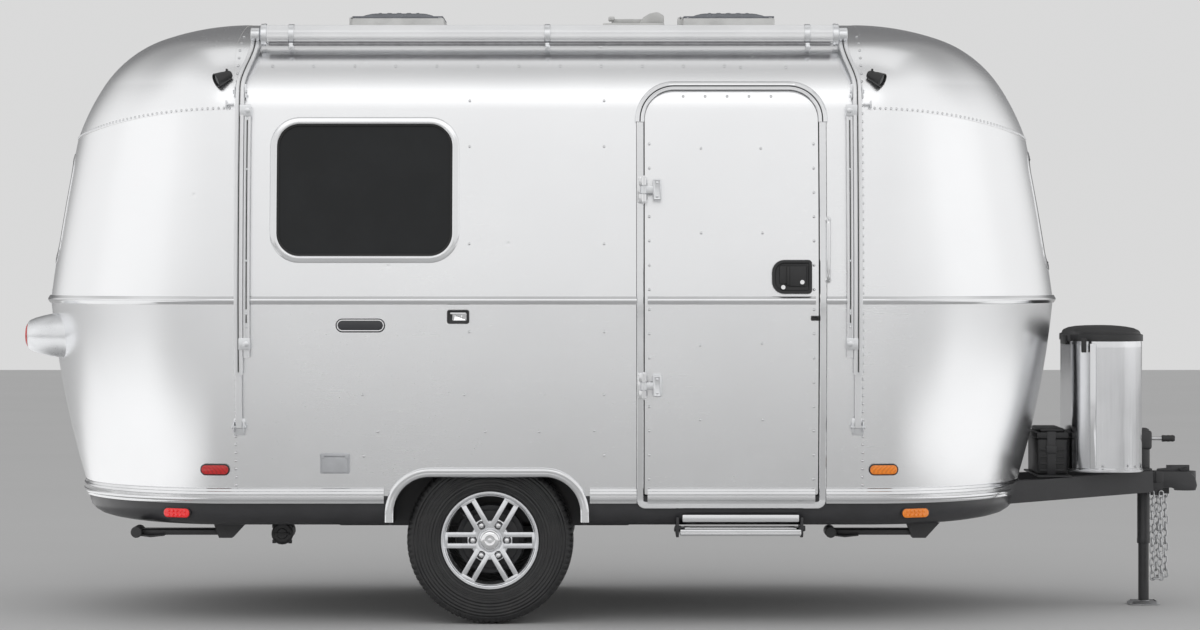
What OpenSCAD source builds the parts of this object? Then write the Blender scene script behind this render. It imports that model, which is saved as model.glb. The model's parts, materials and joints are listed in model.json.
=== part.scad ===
// Travel caravan: a riveted aluminium shell with rounded ends on a single torsion axle,
// with an awning, an A-frame tongue, gas bottle cover, tongue jack and corner stabilisers.
// +X points to the hitch, +Y to the road side, +Z up, and the ground is z = 0.

/* [Body shell] */
// Length of the body at the belt line, end to end
body_len = 4420; // [4300:10:4560]
// Width of the body at the belt line
body_w = 2236; // [2180:4:2300]
// Length of the straight stretch between the two rounded ends
straight_len = 2640; // [2630:10:2760]
// Height of the roof crown above the ground
roof_z = 2560; // [2530:5:2620]
// Height of the belt line
belt_z = 1355; // [1330:5:1380]
// Height of the underside of the walls
sill_z = 540; // [530:2:550]
// Drop from the roof crown to the dome seam where it meets the sides
seam_side_drop = 410; // [390:5:430]
// Drop from the roof crown to the dome seam at the middle of each end
seam_end_drop = 520; // [500:5:540]
// How far each side tucks in from the belt line to the sill
tuck_side = 58; // [40:2:70]
// How far each end tucks in from the belt line to the sill
tuck_end = 165; // [140:5:190]
// How far each side leans in from the belt line to the seam
lean_side = 66; // [56:2:76]
// How far each end leans in from the belt line to the seam
lean_end = 118; // [100:2:130]
// Thickness of the whole wall, skin to lining
wall_t = 45; // [38:1:50]

/* [Doorway] */
// Distance from the front of the straight wall back to the doorway
door_inset = 196; // [188:2:208]
// Clear width of the doorway
door_w = 732; // [700:4:740]
// Drop from the roof crown to the doorway's upper edge
door_head = 325; // [310:5:360]
// Radius of the doorway's upper corners
door_corner_r = 165; // [140:5:180]
// Gap between the door and its opening
door_gap = 5; // [4:0.5:6]
// How far the hinge pins stand out from the widest part of the body
hinge_stand = 24; // [22:1:28]

/* [Windows] */
// Width of the bedroom window opening
window_w = 740; // [700:10:760]
// Height of the bedroom window opening
window_h = 560; // [520:10:580]
// Corner radius of the windows
window_r = 100; // [70:5:120]
// Distance from the rear of the straight wall forward to the middle of the bedroom window
window_inset = 552; // [520:4:580]
// Height of the middle of the bedroom window above the belt line
window_rise = 460; // [445:5:475]
// Width of the metal frame round each window
window_frame_w = 24; // [16:1:30]

/* [Wheels] */
// Radius of the tyres
tyre_r = 350; // [340:2:356]
// Width of the tyres
tyre_w = 224; // [210:2:230]
// Radius of the rim's lip
rim_r = 206; // [200:2:212]
// Distance from the doorway's rear edge back to the axle line
axle_back = 642; // [632:2:662]
// Distance of each tyre's middle from the centre line
track_half = 898; // [890:1:902]
// Number of spoke pairs and wheel nuts
spoke_pairs = 6; // [5:1:7]

/* [Tongue] */
// Length of the tongue, from the body's front end to the tip of the coupler
tongue_len = 644; // [630:2:670]
// Width of a tongue beam
beam_w = 60; // [50:2:64]
// Height of a tongue beam
beam_h = 94; // [84:2:96]
// Radius of the hitch ball's socket
ball_r = 29.8; // [25.6:0.1:30]
// Distance of the jack post ahead of the body's front end
jack_out = 412; // [408:1:418]
// Outer radius of the jack post
jack_r = 28; // [26:0.5:29]

/* [Awning] */
// Radius of the rolled-up awning
awning_r = 44; // [38:1:48]
// Width of the awning's main arms
arm_w = 36; // [30:1:40]

/* [Hidden] */
$fn = 48;

// Places that follow from the sizes above.
front_x = body_len / 2;
coupler_x = front_x + tongue_len;
jack_x = front_x + jack_out;
spine_x = straight_len / 2;
belt_b = body_w / 2;
belt_a = front_x - spine_x;
seam_side_z = roof_z - seam_side_drop;
seam_end_z = roof_z - seam_end_drop;
door_top_z = roof_z - door_head;
door_x = spine_x - door_inset - door_w;
axle_x = door_x - axle_back;
window_x = window_inset - spine_x;
// Share of the drawn height above the belt line, for what sits on the upper wall.
upper = (roof_z - belt_z) / 1205;
function up(rise) = belt_z + rise * upper;
window_z = up(window_rise);
pane_h = window_h * upper;

// The whole part moves from the body's middle to the middle of its own outline.
row_x = -(coupler_x - body_len / 2 - 66) / 2;
row_y = 20;
silver = [0.80, 0.81, 0.83];
bright = [0.88, 0.89, 0.90];
charcoal = [0.17, 0.17, 0.18];
black = [0.07, 0.07, 0.08];

// Section of the body: points [reach, z] from the sill to the crown, for the sides and for the ends.
n_low = 5;
n_up = 5;
n_dome = [3, 5, 4];
k_belt = n_low;
k_seam = n_low + n_up;
k_roof = k_seam + 5;
k_top = k_seam + 12;
columns = 28;

function bowed(p, q, sag, n) =
  let (d = q - p, u = [d.y, -d.x] / norm(d))
  [for (k = [1 : n]) let (t = k / n) p + d * t + u * 4 * sag * t * (1 - t)];

function dome(b, z0, h, f0, r1, f1, f_join) =
  let (b1 = b + r1 * (cos(f1) - cos(f0)), h1 = h - r1 * (sin(f1) - sin(f0)),
       fj = min(f_join, 2 * atan(b1 / h1) - f1 - 14),
       m = [[cos(f1) - cos(fj), cos(fj)], [sin(fj) - sin(f1), 1 - sin(fj)]],
       det = m[0][0] * m[1][1] - m[0][1] * m[1][0],
       r2 = (b1 * m[1][1] - m[0][1] * h1) / det, r3 = (m[0][0] * h1 - m[1][0] * b1) / det,
       z1 = z0 + r1 * (sin(f1) - sin(f0)))
  concat(
    [for (k = [1 : n_dome[0]]) let (f = f0 + (f1 - f0) * k / n_dome[0])
      [b + r1 * (cos(f) - cos(f0)), z0 + r1 * (sin(f) - sin(f0))]],
    [for (k = [1 : n_dome[1]]) let (f = f1 + (fj - f1) * k / n_dome[1])
      [b1 + r2 * (cos(f) - cos(f1)), z1 + r2 * (sin(f) - sin(f1))]],
    [for (k = [1 : n_dome[2]]) let (f = fj + (90 - fj) * k / n_dome[2])
      [r3 * cos(f), z0 + h - r3 * (1 - sin(f))]]);

side_line = concat([[belt_b - tuck_side, sill_z]],
  bowed([belt_b - tuck_side, sill_z], [belt_b, belt_z], 9, n_low),
  bowed([belt_b, belt_z], [belt_b - lean_side, seam_side_z], 12, n_up),
  dome(belt_b - lean_side, seam_side_z, seam_side_drop, 8.2, 400, 25, 74));
end_line = concat([[belt_a - tuck_end, sill_z]],
  bowed([belt_a - tuck_end, sill_z], [belt_a, belt_z], 22, n_low),
  bowed([belt_a, belt_z], [belt_a - lean_end, seam_end_z], 6, n_up),
  dome(belt_a - lean_end, seam_end_z, seam_end_drop, 18, 1020 * belt_a / 890, 33, 70));

function out_dir(line, i) =
  i == 0 ? [1, 0] : i == k_top ? [0, 1]
  : let (d = line[i + 1] - line[i - 1]) [d.y, -d.x] / norm(d);
function inset(line, off) = [for (i = [0 : k_top]) line[i] - out_dir(line, i) * off];
function reach_at(line, z, i = 0) =
  line[i + 1].y >= z || i == k_top - 1
    ? line[i].x + (line[i + 1].x - line[i].x) * (z - line[i].y) / (line[i + 1].y - line[i].y)
    : reach_at(line, z, i + 1);
function side_y(z) = reach_at(side_line, z);

// One point of the rounded front end: section point i of both lines, turned to angle t.
function end_point(e, s, i, t) =
  [spine_x + e[i].x * cos(t), s[i].x * sin(t), e[i].y * pow(cos(t), 2) + s[i].y * pow(sin(t), 2)];
function quad(a, b, c, d) = [[a, b, c], [a, c, d]];

// Curved panel of the front end between section points i0 and i1, from outer to inner offset.
module end_patch(i0, i1, off_out, off_in) {
  eo = inset(end_line, off_out);
  so = inset(side_line, off_out);
  ei = inset(end_line, off_in);
  si = inset(side_line, off_in);
  pole = i1 == k_top;
  rows = pole ? i1 - i0 : i1 - i0 + 1;
  m = columns;
  turn = [for (j = [0 : m]) -90 + 180 * j / m];
  half = rows * (m + 1) + (pole ? 1 : 0);
  pts = concat(
    [for (i = [i0 : i0 + rows - 1]) for (t = turn) end_point(eo, so, i, t)],
    pole ? [[spine_x, 0, so[i1].y]] : [],
    [for (i = [i0 : i0 + rows - 1]) for (t = turn) end_point(ei, si, i, t)],
    pole ? [[spine_x, 0, si[i1].y]] : []);
  function o(i, j) = i * (m + 1) + j;
  function n(i, j) = half + i * (m + 1) + j;
  top = rows - 1;
  skin = [for (i = [0 : 1 : rows - 2]) for (j = [0 : m - 1])
    each concat(quad(o(i, j), o(i + 1, j), o(i + 1, j + 1), o(i, j + 1)),
                quad(n(i, j), n(i, j + 1), n(i + 1, j + 1), n(i + 1, j)))];
  foot = [for (j = [0 : m - 1]) each quad(o(0, j + 1), n(0, j + 1), n(0, j), o(0, j))];
  ends = [for (i = [0 : 1 : rows - 2])
    each concat(quad(o(i + 1, 0), o(i, 0), n(i, 0), n(i + 1, 0)),
                quad(o(i, m), o(i + 1, m), n(i + 1, m), n(i, m)))];
  po = half - 1;
  pn = 2 * half - 1;
  head = pole
    ? concat([for (j = [0 : m - 1]) each [[o(top, j), po, o(top, j + 1)], [n(top, j), n(top, j + 1), pn]]],
             quad(po, o(top, 0), n(top, 0), pn), quad(o(top, m), po, pn, n(top, m)))
    : [for (j = [0 : m - 1]) each quad(o(top, j + 1), o(top, j), n(top, j), n(top, j + 1))];
  polyhedron(points = pts, faces = concat(skin, foot, ends, head), convexity = 6);
}

// Closed plan outline of the body, from the reach of its ends and of its sides.
function plan(a, b) = concat(
  [for (j = [0 : columns]) let (t = -90 + 180 * j / columns) [spine_x + a * cos(t), b * sin(t)]],
  [for (j = [0 : columns]) let (t = 90 + 180 * j / columns) [-spine_x + a * cos(t), b * sin(t)]]);
module plan_slab(z0, z1, a, b) translate([0, 0, z0]) linear_extrude(height = z1 - z0) polygon(plan(a, b));

module along_x(x0, x1) translate([x0, 0, 0]) rotate([90, 0, 90]) linear_extrude(height = x1 - x0) children();
module along_y(y0, y1) translate([0, y1, 0]) rotate([90, 0, 0]) linear_extrude(height = y1 - y0) children();
module box(x0, x1, y0, y1, z0, z1) translate([x0, y0, z0]) cube([x1 - x0, y1 - y0, z1 - z0]);
module both_sides() { children(); mirror([0, 1, 0]) children(); }
module both_ends() { children(); mirror([1, 0, 0]) children(); }
module rod_y(x, z, r, y0, y1) translate([x, y1, z]) rotate([90, 0, 0]) cylinder(r = r, h = y1 - y0);
module rod_x(y, z, r, x0, x1) translate([x0, y, z]) rotate([0, 90, 0]) cylinder(r = r, h = x1 - x0);

// Strip of the curb side that follows the wall between two offsets, as far up as section point top.
function strip(off_out, off_in, top) =
  let (p = inset(side_line, off_out), q = inset(side_line, off_in))
  concat([for (i = [0 : top]) [-p[i].x, p[i].y]], [for (i = [top : -1 : 0]) [-q[i].x, q[i].y]]);
module side_strip(x0, x1, off_out, off_in, top = k_roof) along_x(x0, x1) polygon(strip(off_out, off_in, top));

function rounded(w, h, rt, rb, n = 7) =
  [for (c = [[1, 1, 0, rt], [-1, 1, 90, rt], [-1, -1, 180, rb], [1, -1, 270, rb]]) for (k = [0 : n])
    let (r = c[3], f = c[2] + 90 * k / n) [c.x * (w / 2 - r) + r * cos(f), c.y * (h / 2 - r) + r * sin(f)]];
module plate_at(x, z, w, h, rt, rb) translate([x, z]) polygon(rounded(w, h, rt, rb));

// Fitting that lies on the curb side wall: an outline pressed out to a height.
module on_side(x, z, w, h, r, out)
  intersection() {
    side_strip(x - w / 2 - 1, x + w / 2 + 1, -out, 0);
    along_y(-belt_b - 200, 0) plate_at(x, z, w, h, r, r);
  }
// A block that ends at the outer face of the curb side wall.
module up_to_side() difference() {
  children();
  side_strip(-spine_x, spine_x, 0, 400);
}

door_bottom = sill_z - 24;
door_mid_x = door_x + door_w / 2;
door_mid_z = (door_bottom + door_top_z) / 2;
door_h = door_top_z - door_bottom;
module door_outline(grow) plate_at(door_mid_x, door_mid_z, door_w + 2 * grow, door_h + 2 * grow,
  door_corner_r + grow, 8 + max(grow, 0));
arch_x = axle_x - 10;
arch_w = 2 * tyre_r + 76;
arch_top = 618;
module arch_outline(grow) plate_at(arch_x, 300 + (arch_top - 300) / 2, arch_w + 2 * grow, arch_top - 300 + 2 * grow,
  150 + grow, 8);
road_window = [560, 420 * upper, 90];
road_window_x = 420;
road_window_z = up(445);

module side_wall(curb) difference() {
  side_strip(-spine_x, spine_x, 0, wall_t);
  along_y(-belt_b - 100, 0) arch_outline(0);
  along_y(-belt_b - 100, 0) plate_at(window_x, window_z, window_w, pane_h, window_r, window_r);
  if (curb) along_y(-belt_b - 100, 0) door_outline(0);
  else along_y(-belt_b - 100, 0)
    plate_at(road_window_x, road_window_z, road_window.x, road_window.y, road_window.z, road_window.z);
}
module side_wall_curb() color(silver) side_wall(true);
module side_wall_road() color(silver) mirror([0, 1, 0]) side_wall(false);

vent_x = [-675, 777];
vent_w = 400;
module roof_under(off) along_x(-spine_x, spine_x) polygon(concat(
  [for (p = inset(side_line, off)) [-p.x, p.y]],
  [let (q = inset(side_line, off)) for (i = [k_top - 1 : -1 : 0]) q[i]]));
module roof_panel() color(silver) difference() {
  p = inset(side_line, 0);
  q = inset(side_line, wall_t);
  along_x(-spine_x, spine_x) polygon(concat(
    [for (i = [k_roof : k_top]) [-p[i].x, p[i].y]], [for (i = [k_top - 1 : -1 : k_roof]) p[i]],
    [for (i = [k_roof : k_top]) q[i]], [for (i = [k_top - 1 : -1 : k_roof]) [-q[i].x, q[i].y]]));
  for (x = vent_x) box(x - 160, x + 160, -160, 160, roof_z - 200, roof_z + 50);
}

front_window = [660, 470 * upper, 90];
front_window_z = up(385);
rear_window = [640, 430 * upper, 90];
rear_window_z = up(395);
beam_rise = 3.1;
beam_start = [1500, 540];
beam_end = [front_x + 430, 96];
beam_turn = atan2(beam_start.y - beam_end.y, beam_end.x - beam_start.x);
beam_len = norm(beam_end - beam_start);
beam_z = 441;
function beam_top(x) = beam_z + beam_h + (x - beam_start.x) * tan(beam_rise);

// One tongue beam on the curb side, a bar that rises to the coupler.
module beam(grow) translate([beam_start.x, -beam_start.y, beam_z]) rotate([0, 0, beam_turn])
  rotate([0, -atan(tan(beam_rise) * cos(beam_turn)), 0])
  translate([-grow, -beam_w / 2 - grow, -grow]) cube([beam_len + 2 * grow, beam_w + 2 * grow, beam_h + 2 * grow]);

module front_wrap() color(silver) difference() {
  end_patch(0, k_seam, 0, wall_t);
  along_x(spine_x, spine_x + 1200)
    plate_at(0, front_window_z, front_window.x, front_window.y, front_window.z, front_window.z);
  both_sides() beam(3);
}
module front_dome() color(silver) end_patch(k_seam, k_top, 0, wall_t);
module rear_wrap() color(silver) difference() {
  mirror([1, 0, 0]) end_patch(0, k_seam, 0, wall_t);
  along_x(-spine_x - 1200, -spine_x)
    plate_at(0, rear_window_z, rear_window.x, rear_window.y, rear_window.z, rear_window.z);
}
module rear_dome() color(silver) mirror([1, 0, 0]) end_patch(k_seam, k_top, 0, wall_t);

tub_in = track_half - tyre_w / 2 - 50;
tub_x0 = arch_x - arch_w / 2 - 22;
tub_x1 = arch_x + arch_w / 2 + 22;
tub_z = 2 * tyre_r + 30;
floor_z = 566;
floor_top = 606;
belly_z = 415;

module floor_deck() color([0.55, 0.45, 0.33]) difference() {
  plan_slab(floor_z, floor_top, reach_at(end_line, floor_z) - wall_t - 0.6, reach_at(side_line, floor_z) - wall_t - 0.6);
  both_sides() box(tub_x0 - 0.5, tub_x1 + 0.5, -belt_b, -tub_in + 0.5, floor_z - 10, floor_top + 10);
}
module wheel_tubs() color(charcoal) both_sides() intersection() {
  difference() {
    box(tub_x0, tub_x1, -belt_b, -tub_in, belly_z, tub_z + 14);
    box(tub_x0 + 12, tub_x1 - 12, -belt_b - 1, -tub_in - 12, belly_z - 1, tub_z);
  }
  union() {
    roof_under(wall_t + 0.5);
    box(tub_x0 - 1, tub_x1 + 1, -side_y(sill_z) + wall_t, 0, belly_z - 1, sill_z + 1);
  }
}

// Dark pan under the body: plan outlines stacked from [inset, z] pairs.
pan_steps = [[2, sill_z], [4, 505], [16, 462], [56, 430], [120, belly_z]];
module pan_loft(in, lift) {
  loops = [for (s = pan_steps) [for (p = plan(belt_a - tuck_end - s[0] - in, belt_b - tuck_side - s[0] * 0.75 - in))
    [p.x, p.y, s[1] + (s[1] == sill_z ? 1 : lift)]]];
  n = len(loops[0]);
  rows = len(loops);
  faces = concat(
    [for (r = [0 : rows - 2]) for (j = [0 : n - 1]) let (k = (j + 1) % n)
      each quad(r * n + j, r * n + k, (r + 1) * n + k, (r + 1) * n + j)],
    [[for (j = [n - 1 : -1 : 0]) j]], [[for (j = [0 : n - 1]) (rows - 1) * n + j]]);
  polyhedron(points = [for (l = loops) each l], faces = faces, convexity = 4);
}
module belly_pan() color(charcoal) {
  difference() {
    pan_loft(0, 0);
    pan_loft(8, 8);
    box(-3000, 3000, -2000, 2000, sill_z, sill_z + 20);
    both_sides() box(tub_x0 - 0.5, tub_x1 + 0.5, -belt_b, -tub_in + 0.5, 380, 560);
    both_sides() beam(3);
  }
  along_y(-640, 640) polygon([[-930, belly_z], [-900, 390], [330, 390], [380, belly_z]]);
}

rail_y = 540;
module chassis_side() {
  beam(0);
  box(-1800, 1470, -rail_y - 30, -rail_y + 30, 430, floor_z);
  box(1460, 1540, -rail_y - 30, -rail_y + 30, 452, 530);
}
module chassis_curb() color(charcoal) chassis_side();
module chassis_road() color(charcoal) mirror([0, 1, 0]) chassis_side();

// Mouldings that run round the body: a plan ring pressed out from the widest outline under it.
module plan_ring(z0, z1, a, b, out) difference() {
  plan_slab(z0, z1, a + out, b + out);
  plan_slab(z0 - 1, z1 + 1, a, b);
}
module doorway_block(grow) box(door_x - grow, door_x + door_w + grow, -belt_b - 100, 0, 300, 2400);
module belt_ring() {
  plan_ring(belt_z - 15, belt_z + 15, belt_a, belt_b, 8);
  plan_ring(belt_z - 9, belt_z + 9, belt_a, belt_b, 13);
}
module belt_rail() color(bright) difference() {
  belt_ring();
  doorway_block(28.5);
}
rail_top = 572;
rail_a = reach_at(end_line, rail_top) + 0.5;
rail_b = reach_at(side_line, rail_top) + 0.3;
module base_ring() {
  plan_ring(508, rail_top, rail_a, rail_b, 10);
  plan_ring(522, rail_top - 14, rail_a, rail_b, 16);
}
module base_rail() color(bright) difference() {
  base_ring();
  doorway_block(28.5);
  both_sides() along_y(-belt_b - 100, 0) arch_outline(41);
  both_sides() beam(3);
}
module arch_trims() color(bright) both_sides() intersection() {
  difference() {
    along_y(-belt_b - 100, -400) arch_outline(40);
    along_y(-belt_b - 101, -399) arch_outline(0);
  }
  union() {
    side_strip(arch_x - 500, arch_x + 500, -15, 0);
    box(arch_x - 500, arch_x + 500, -side_y(sill_z) - 15, -side_y(sill_z) + 1, 425, sill_z);
  }
}

// Doorway: a flat frame on the wall, and two hinges whose pins stand outside it.
hinge_x = door_x + 2;
hinge_y = -belt_b - hinge_stand;
hinge_zs = [1000, up(460)];
module door_frame() color(bright) {
  intersection() {
    side_strip(door_x - 40, door_x + door_w + 40, -9, 0, k_roof);
    difference() {
      along_y(-belt_b - 100, -400) door_outline(28);
      along_y(-belt_b - 101, -399) door_outline(0);
    }
  }
  for (z = hinge_zs) {
    up_to_side() for (s = [-1, 1])
      box(door_x - 46, door_x - 1, hinge_y - 8, -800, z + s * 35 - 17, z + s * 35 + 17);
    translate([hinge_x, hinge_y, z - 52]) {
      cylinder(r = 7, h = 104);
      cylinder(r = 13, h = 34);
      translate([0, 0, 70]) cylinder(r = 13, h = 34);
    }
  }
}
module door_panel() color(silver) intersection() {
  side_strip(door_x, door_x + door_w, 0, wall_t - 6, k_roof);
  along_y(-belt_b - 100, -400) door_outline(-door_gap);
  box(door_x, door_x + door_w, -belt_b - 100, -400, sill_z + 6, 2400);
}
// Door fittings that move with it: moulding pieces and the outer hinge leaves.
module door_trim() color(bright) {
  intersection() {
    union() {
      belt_ring();
      base_ring();
    }
    box(door_x + door_gap, door_x + door_w - door_gap, -belt_b - 100, -400, 300, 1600);
  }
  for (z = hinge_zs) difference() {
    union() {
      translate([hinge_x, hinge_y, z - 16.5]) cylinder(r = 13, h = 33);
      box(hinge_x, hinge_x + 66, hinge_y - 8, hinge_y + 4, z - 16.5, z + 16.5);
      up_to_side() box(hinge_x + 24, hinge_x + 66, hinge_y - 8, -800, z - 16.5, z + 16.5);
    }
    translate([hinge_x, hinge_y, z - 20]) cylinder(r = 7.4, h = 40);
  }
}
module door_lock() color(black) {
  lock_x = door_x + door_w - 114;
  on_side(lock_x, belt_z + 97, 168, 140, 20, 18);
  up_to_side() rod_y(lock_x - 42, belt_z + 75, 16, -belt_b - 26, 218 - belt_b);
}

// Windows: a frame pressed out round each opening and a pane set into it.
module side_window(x, z, w, h, r) difference() {
  on_side(x, z, w + 2 * window_frame_w, h + 2 * window_frame_w, r + window_frame_w, 11);
  along_y(-belt_b - 200, 0) plate_at(x, z, w - 12, h - 12, r - 6, r - 6);
}
module side_pane(x, z, w, h, r) intersection() {
  side_strip(x - w / 2, x + w / 2, 4, 16);
  along_y(-belt_b - 200, 0) plate_at(x, z, w - 0.6, h - 0.6, r, r);
}
module end_window(win, z) difference() {
  intersection() {
    end_patch(k_belt, k_seam, -11, 0);
    along_x(spine_x, spine_x + 1200)
      plate_at(0, z, win.x + 2 * window_frame_w, win.y + 2 * window_frame_w, win.z + window_frame_w, win.z + window_frame_w);
  }
  along_x(spine_x - 1, spine_x + 1201) plate_at(0, z, win.x - 12, win.y - 12, win.z - 6, win.z - 6);
}
module end_pane(win, z) intersection() {
  end_patch(k_belt, k_seam, 4, 16);
  along_x(spine_x, spine_x + 1200) plate_at(0, z, win.x - 0.6, win.y - 0.6, win.z, win.z);
}
module window_frames() color(bright) {
  both_sides() side_window(window_x, window_z, window_w, pane_h, window_r);
  mirror([0, 1, 0]) side_window(road_window_x, road_window_z, road_window.x, road_window.y, road_window.z);
  end_window(front_window, front_window_z);
  mirror([1, 0, 0]) end_window(rear_window, rear_window_z);
}
module window_glass() color([0.12, 0.13, 0.14]) {
  both_sides() side_pane(window_x, window_z, window_w, pane_h, window_r);
  mirror([0, 1, 0]) side_pane(road_window_x, road_window_z, road_window.x, road_window.y, road_window.z);
  end_pane(front_window, front_window_z);
  mirror([1, 0, 0]) end_pane(rear_window, rear_window_z);
}

// Awning: the roll above the roof's edge, carried by two pairs of nested arms on the wall.
awn_y = 213 - belt_b;
awn_z = roof_z - 89;
arm_front_x = spine_x - 38;
arm_rear_x = 32 - spine_x;
module awning_roll() color([0.83, 0.83, 0.82]) {
  half = spine_x - 120;
  rod_x(awn_y, awn_z, awning_r - 3, -half, half);
  for (x = [-half - 5, half - 25]) rod_x(awn_y, awn_z, awning_r + 3, x, x + 30);
  for (x = [100 - half, -24, half - 130]) rod_x(awn_y, awn_z, awning_r + 1, x, x + 26);
  rod_x(awn_y, awn_z, 12, arm_rear_x + arm_w / 2 + 0.2, -half);
  rod_x(awn_y, awn_z, 12, half, arm_front_x - arm_w / 2 - 0.2);
}
module arm_run(x0, x1, off_out, off_in, z0, z1) intersection() {
  side_strip(x0, x1, off_out, off_in, k_seam + 8);
  box(x0 - 1, x1 + 1, -belt_b - 200, 618 - belt_b, z0, z1);
}
module awning_arm(x, s) {
  arm_run(x - arm_w / 2, x + arm_w / 2, -44, -18, 1050, awn_z - 19);
  arm_run(x - 13, x + 13, -40, -22, 840, 1060);
  rod_x(awn_y, awn_z, 30, x - arm_w / 2, x + arm_w / 2);
  arm_run(min(x - s * 20, x - s * 46), max(x - s * 20, x - s * 46), -40, -15, 1190, up(785));
  for (z = [1150, up(765)]) arm_run(min(x, x - s * 46), max(x, x - s * 46), -42, -18, z, z + 50);
  for (z = [806, up(845)]) arm_run(x - 24, x + 24, -46, 0, z, z + 46);
}
module awning_arm_front() color(bright) awning_arm(arm_front_x, 1);
module awning_arm_rear() color(bright) awning_arm(arm_rear_x, -1);

// Small lamps.
module flood_lamps() color(black) for (m = [0, 1]) mirror([m, 0, 0]) difference() {
  translate([spine_x + 28, 116 - belt_b, up(937)]) {
    rotate([90, 0, 0]) translate([0, 0, -60]) cylinder(r = 15, h = 85);
    translate([0, -22, 0]) rotate([125, 0, 0]) translate([0, 0, -18]) cylinder(r1 = 18, r2 = 28, h = 74);
  }
  end_patch(k_seam, k_seam + 5, 0, 200);
}
tail_y = 420;
tail_z = 1200;
tail_x = body_len / 2 + 52;
module tail_lamp_housings() color(bright) both_sides() difference() {
  translate([-tail_x, -tail_y, tail_z]) rotate([0, 90, 0]) cylinder(r1 = 60, r2 = 106, h = 230);
  mirror([1, 0, 0]) end_patch(2, 6, 0, 260);
}
module skirt_lamp(x) {
  a = belt_a - tuck_end - 12;
  b = belt_b - tuck_side - 9;
  t = acos((x - spine_x) / a);
  difference() {
    translate([x, -b * sin(t), 466]) rotate([0, 0, atan2(cos(t) / a, sin(t) / b)])
      along_y(-16, 40) plate_at(0, 0, 120, 48, 23, 23);
    pan_loft(-0.8, 0);
  }
}
module wrap_lamp() intersection() {
  end_patch(0, 1, -20, 0);
  along_y(-belt_b - 200, -500) plate_at(spine_x + 72, 650, 124, 48, 23, 23);
}
module lamps_red() color([0.62, 0.05, 0.04]) both_sides() {
  translate([-tail_x - 14, -tail_y, tail_z]) rotate([0, 90, 0]) cylinder(r = 54, h = 13.9);
  mirror([1, 0, 0]) { wrap_lamp(); skirt_lamp(1560); }
}
module lamps_amber() color([0.85, 0.40, 0.05]) both_sides() { wrap_lamp(); skirt_lamp(1530); }

// Flat fittings on the walls.
module service_hatches() color([0.62, 0.63, 0.64]) {
  on_side(-892, 676, 124, 84, 10, 14);
  mirror([0, 1, 0]) {
    on_side(420, 900, 420, 340, 20, 9);
    on_side(-960, 960, 560, 400, 30, 9);
    on_side(-940, 680, 120, 110, 14, 14);
  }
}
module door_catch() color(black) on_side(-378, 1287, 92, 58, 8, 16);
module name_plate() color(black) on_side(-784, 1251, 218, 70, 34, 5);
module grab_handle() color(bright) {
  x = door_x + door_w + 52;
  up_to_side() for (z = [belt_z + 85, belt_z + 335]) rod_y(x, z, 9, -belt_b - 46, 218 - belt_b);
  translate([x, -belt_b - 46, belt_z + 73]) cylinder(r = 10, h = 274);
}

// Roof: two vents with hinged lids and a low aerial.
vent_z = roof_z + 26;
module vent_base(x) difference() {
  union() {
    box(x - vent_w / 2, x + vent_w / 2, -vent_w / 2, vent_w / 2, roof_z - 80, vent_z);
    for (y = [-62, 42]) box(x - vent_w / 2 - 22, x - vent_w / 2 + 4, y, y + 20, roof_z - 80, vent_z + 12);
    rod_y(x - vent_w / 2 - 10, vent_z + 8, 4, -60, 60);
  }
  roof_under(0);
  box(x - 160, x + 160, -160, 160, roof_z - 200, roof_z + 60);
}
module roof_vent_bases() color([0.9, 0.9, 0.88]) for (x = vent_x) vent_base(x);
module vent_lid(x) {
  h = vent_w / 2 - 4;
  z = vent_z + 2.5;
  intersection() {
    along_y(-h, h) polygon([[x - h, z], [x + h, z], [x + h - 8, z + 22], [x + h - 70, z + 40],
      [x - h + 70, z + 40], [x - h + 8, z + 22]]);
    along_x(x - h, x + h) polygon([[-h, z], [h, z], [h - 8, z + 22], [h - 70, z + 40], [70 - h, z + 40], [8 - h, z + 22]]);
  }
  difference() {
    union() {
      rod_y(x - vent_w / 2 - 10, vent_z + 8, 8, -41, 41);
      box(x - vent_w / 2 - 10, x - h + 12, -41, 41, z + 1, z + 12);
    }
    rod_y(x - vent_w / 2 - 10, vent_z + 8, 4.5, -50, 50);
  }
}
module vent_lid_rear() color([0.9, 0.9, 0.88]) vent_lid(vent_x[0]);
module vent_lid_front() color([0.9, 0.9, 0.88]) vent_lid(vent_x[1]);
module roof_aerial() color([0.9, 0.9, 0.88]) {
  difference() {
    box(220, 500, -80, 80, roof_z - 60, roof_z + 14);
    roof_under(0);
  }
  along_y(-42, 42) polygon([[380, roof_z + 13], [494, roof_z + 13], [494, roof_z + 50], [462, roof_z + 66], [400, roof_z + 40]]);
  along_y(-8, 8) polygon([[230, roof_z + 13], [300, roof_z + 13], [290, roof_z + 44], [240, roof_z + 36]]);
  rod_y(262, roof_z + 34, 10, -60, 60);
}

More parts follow.
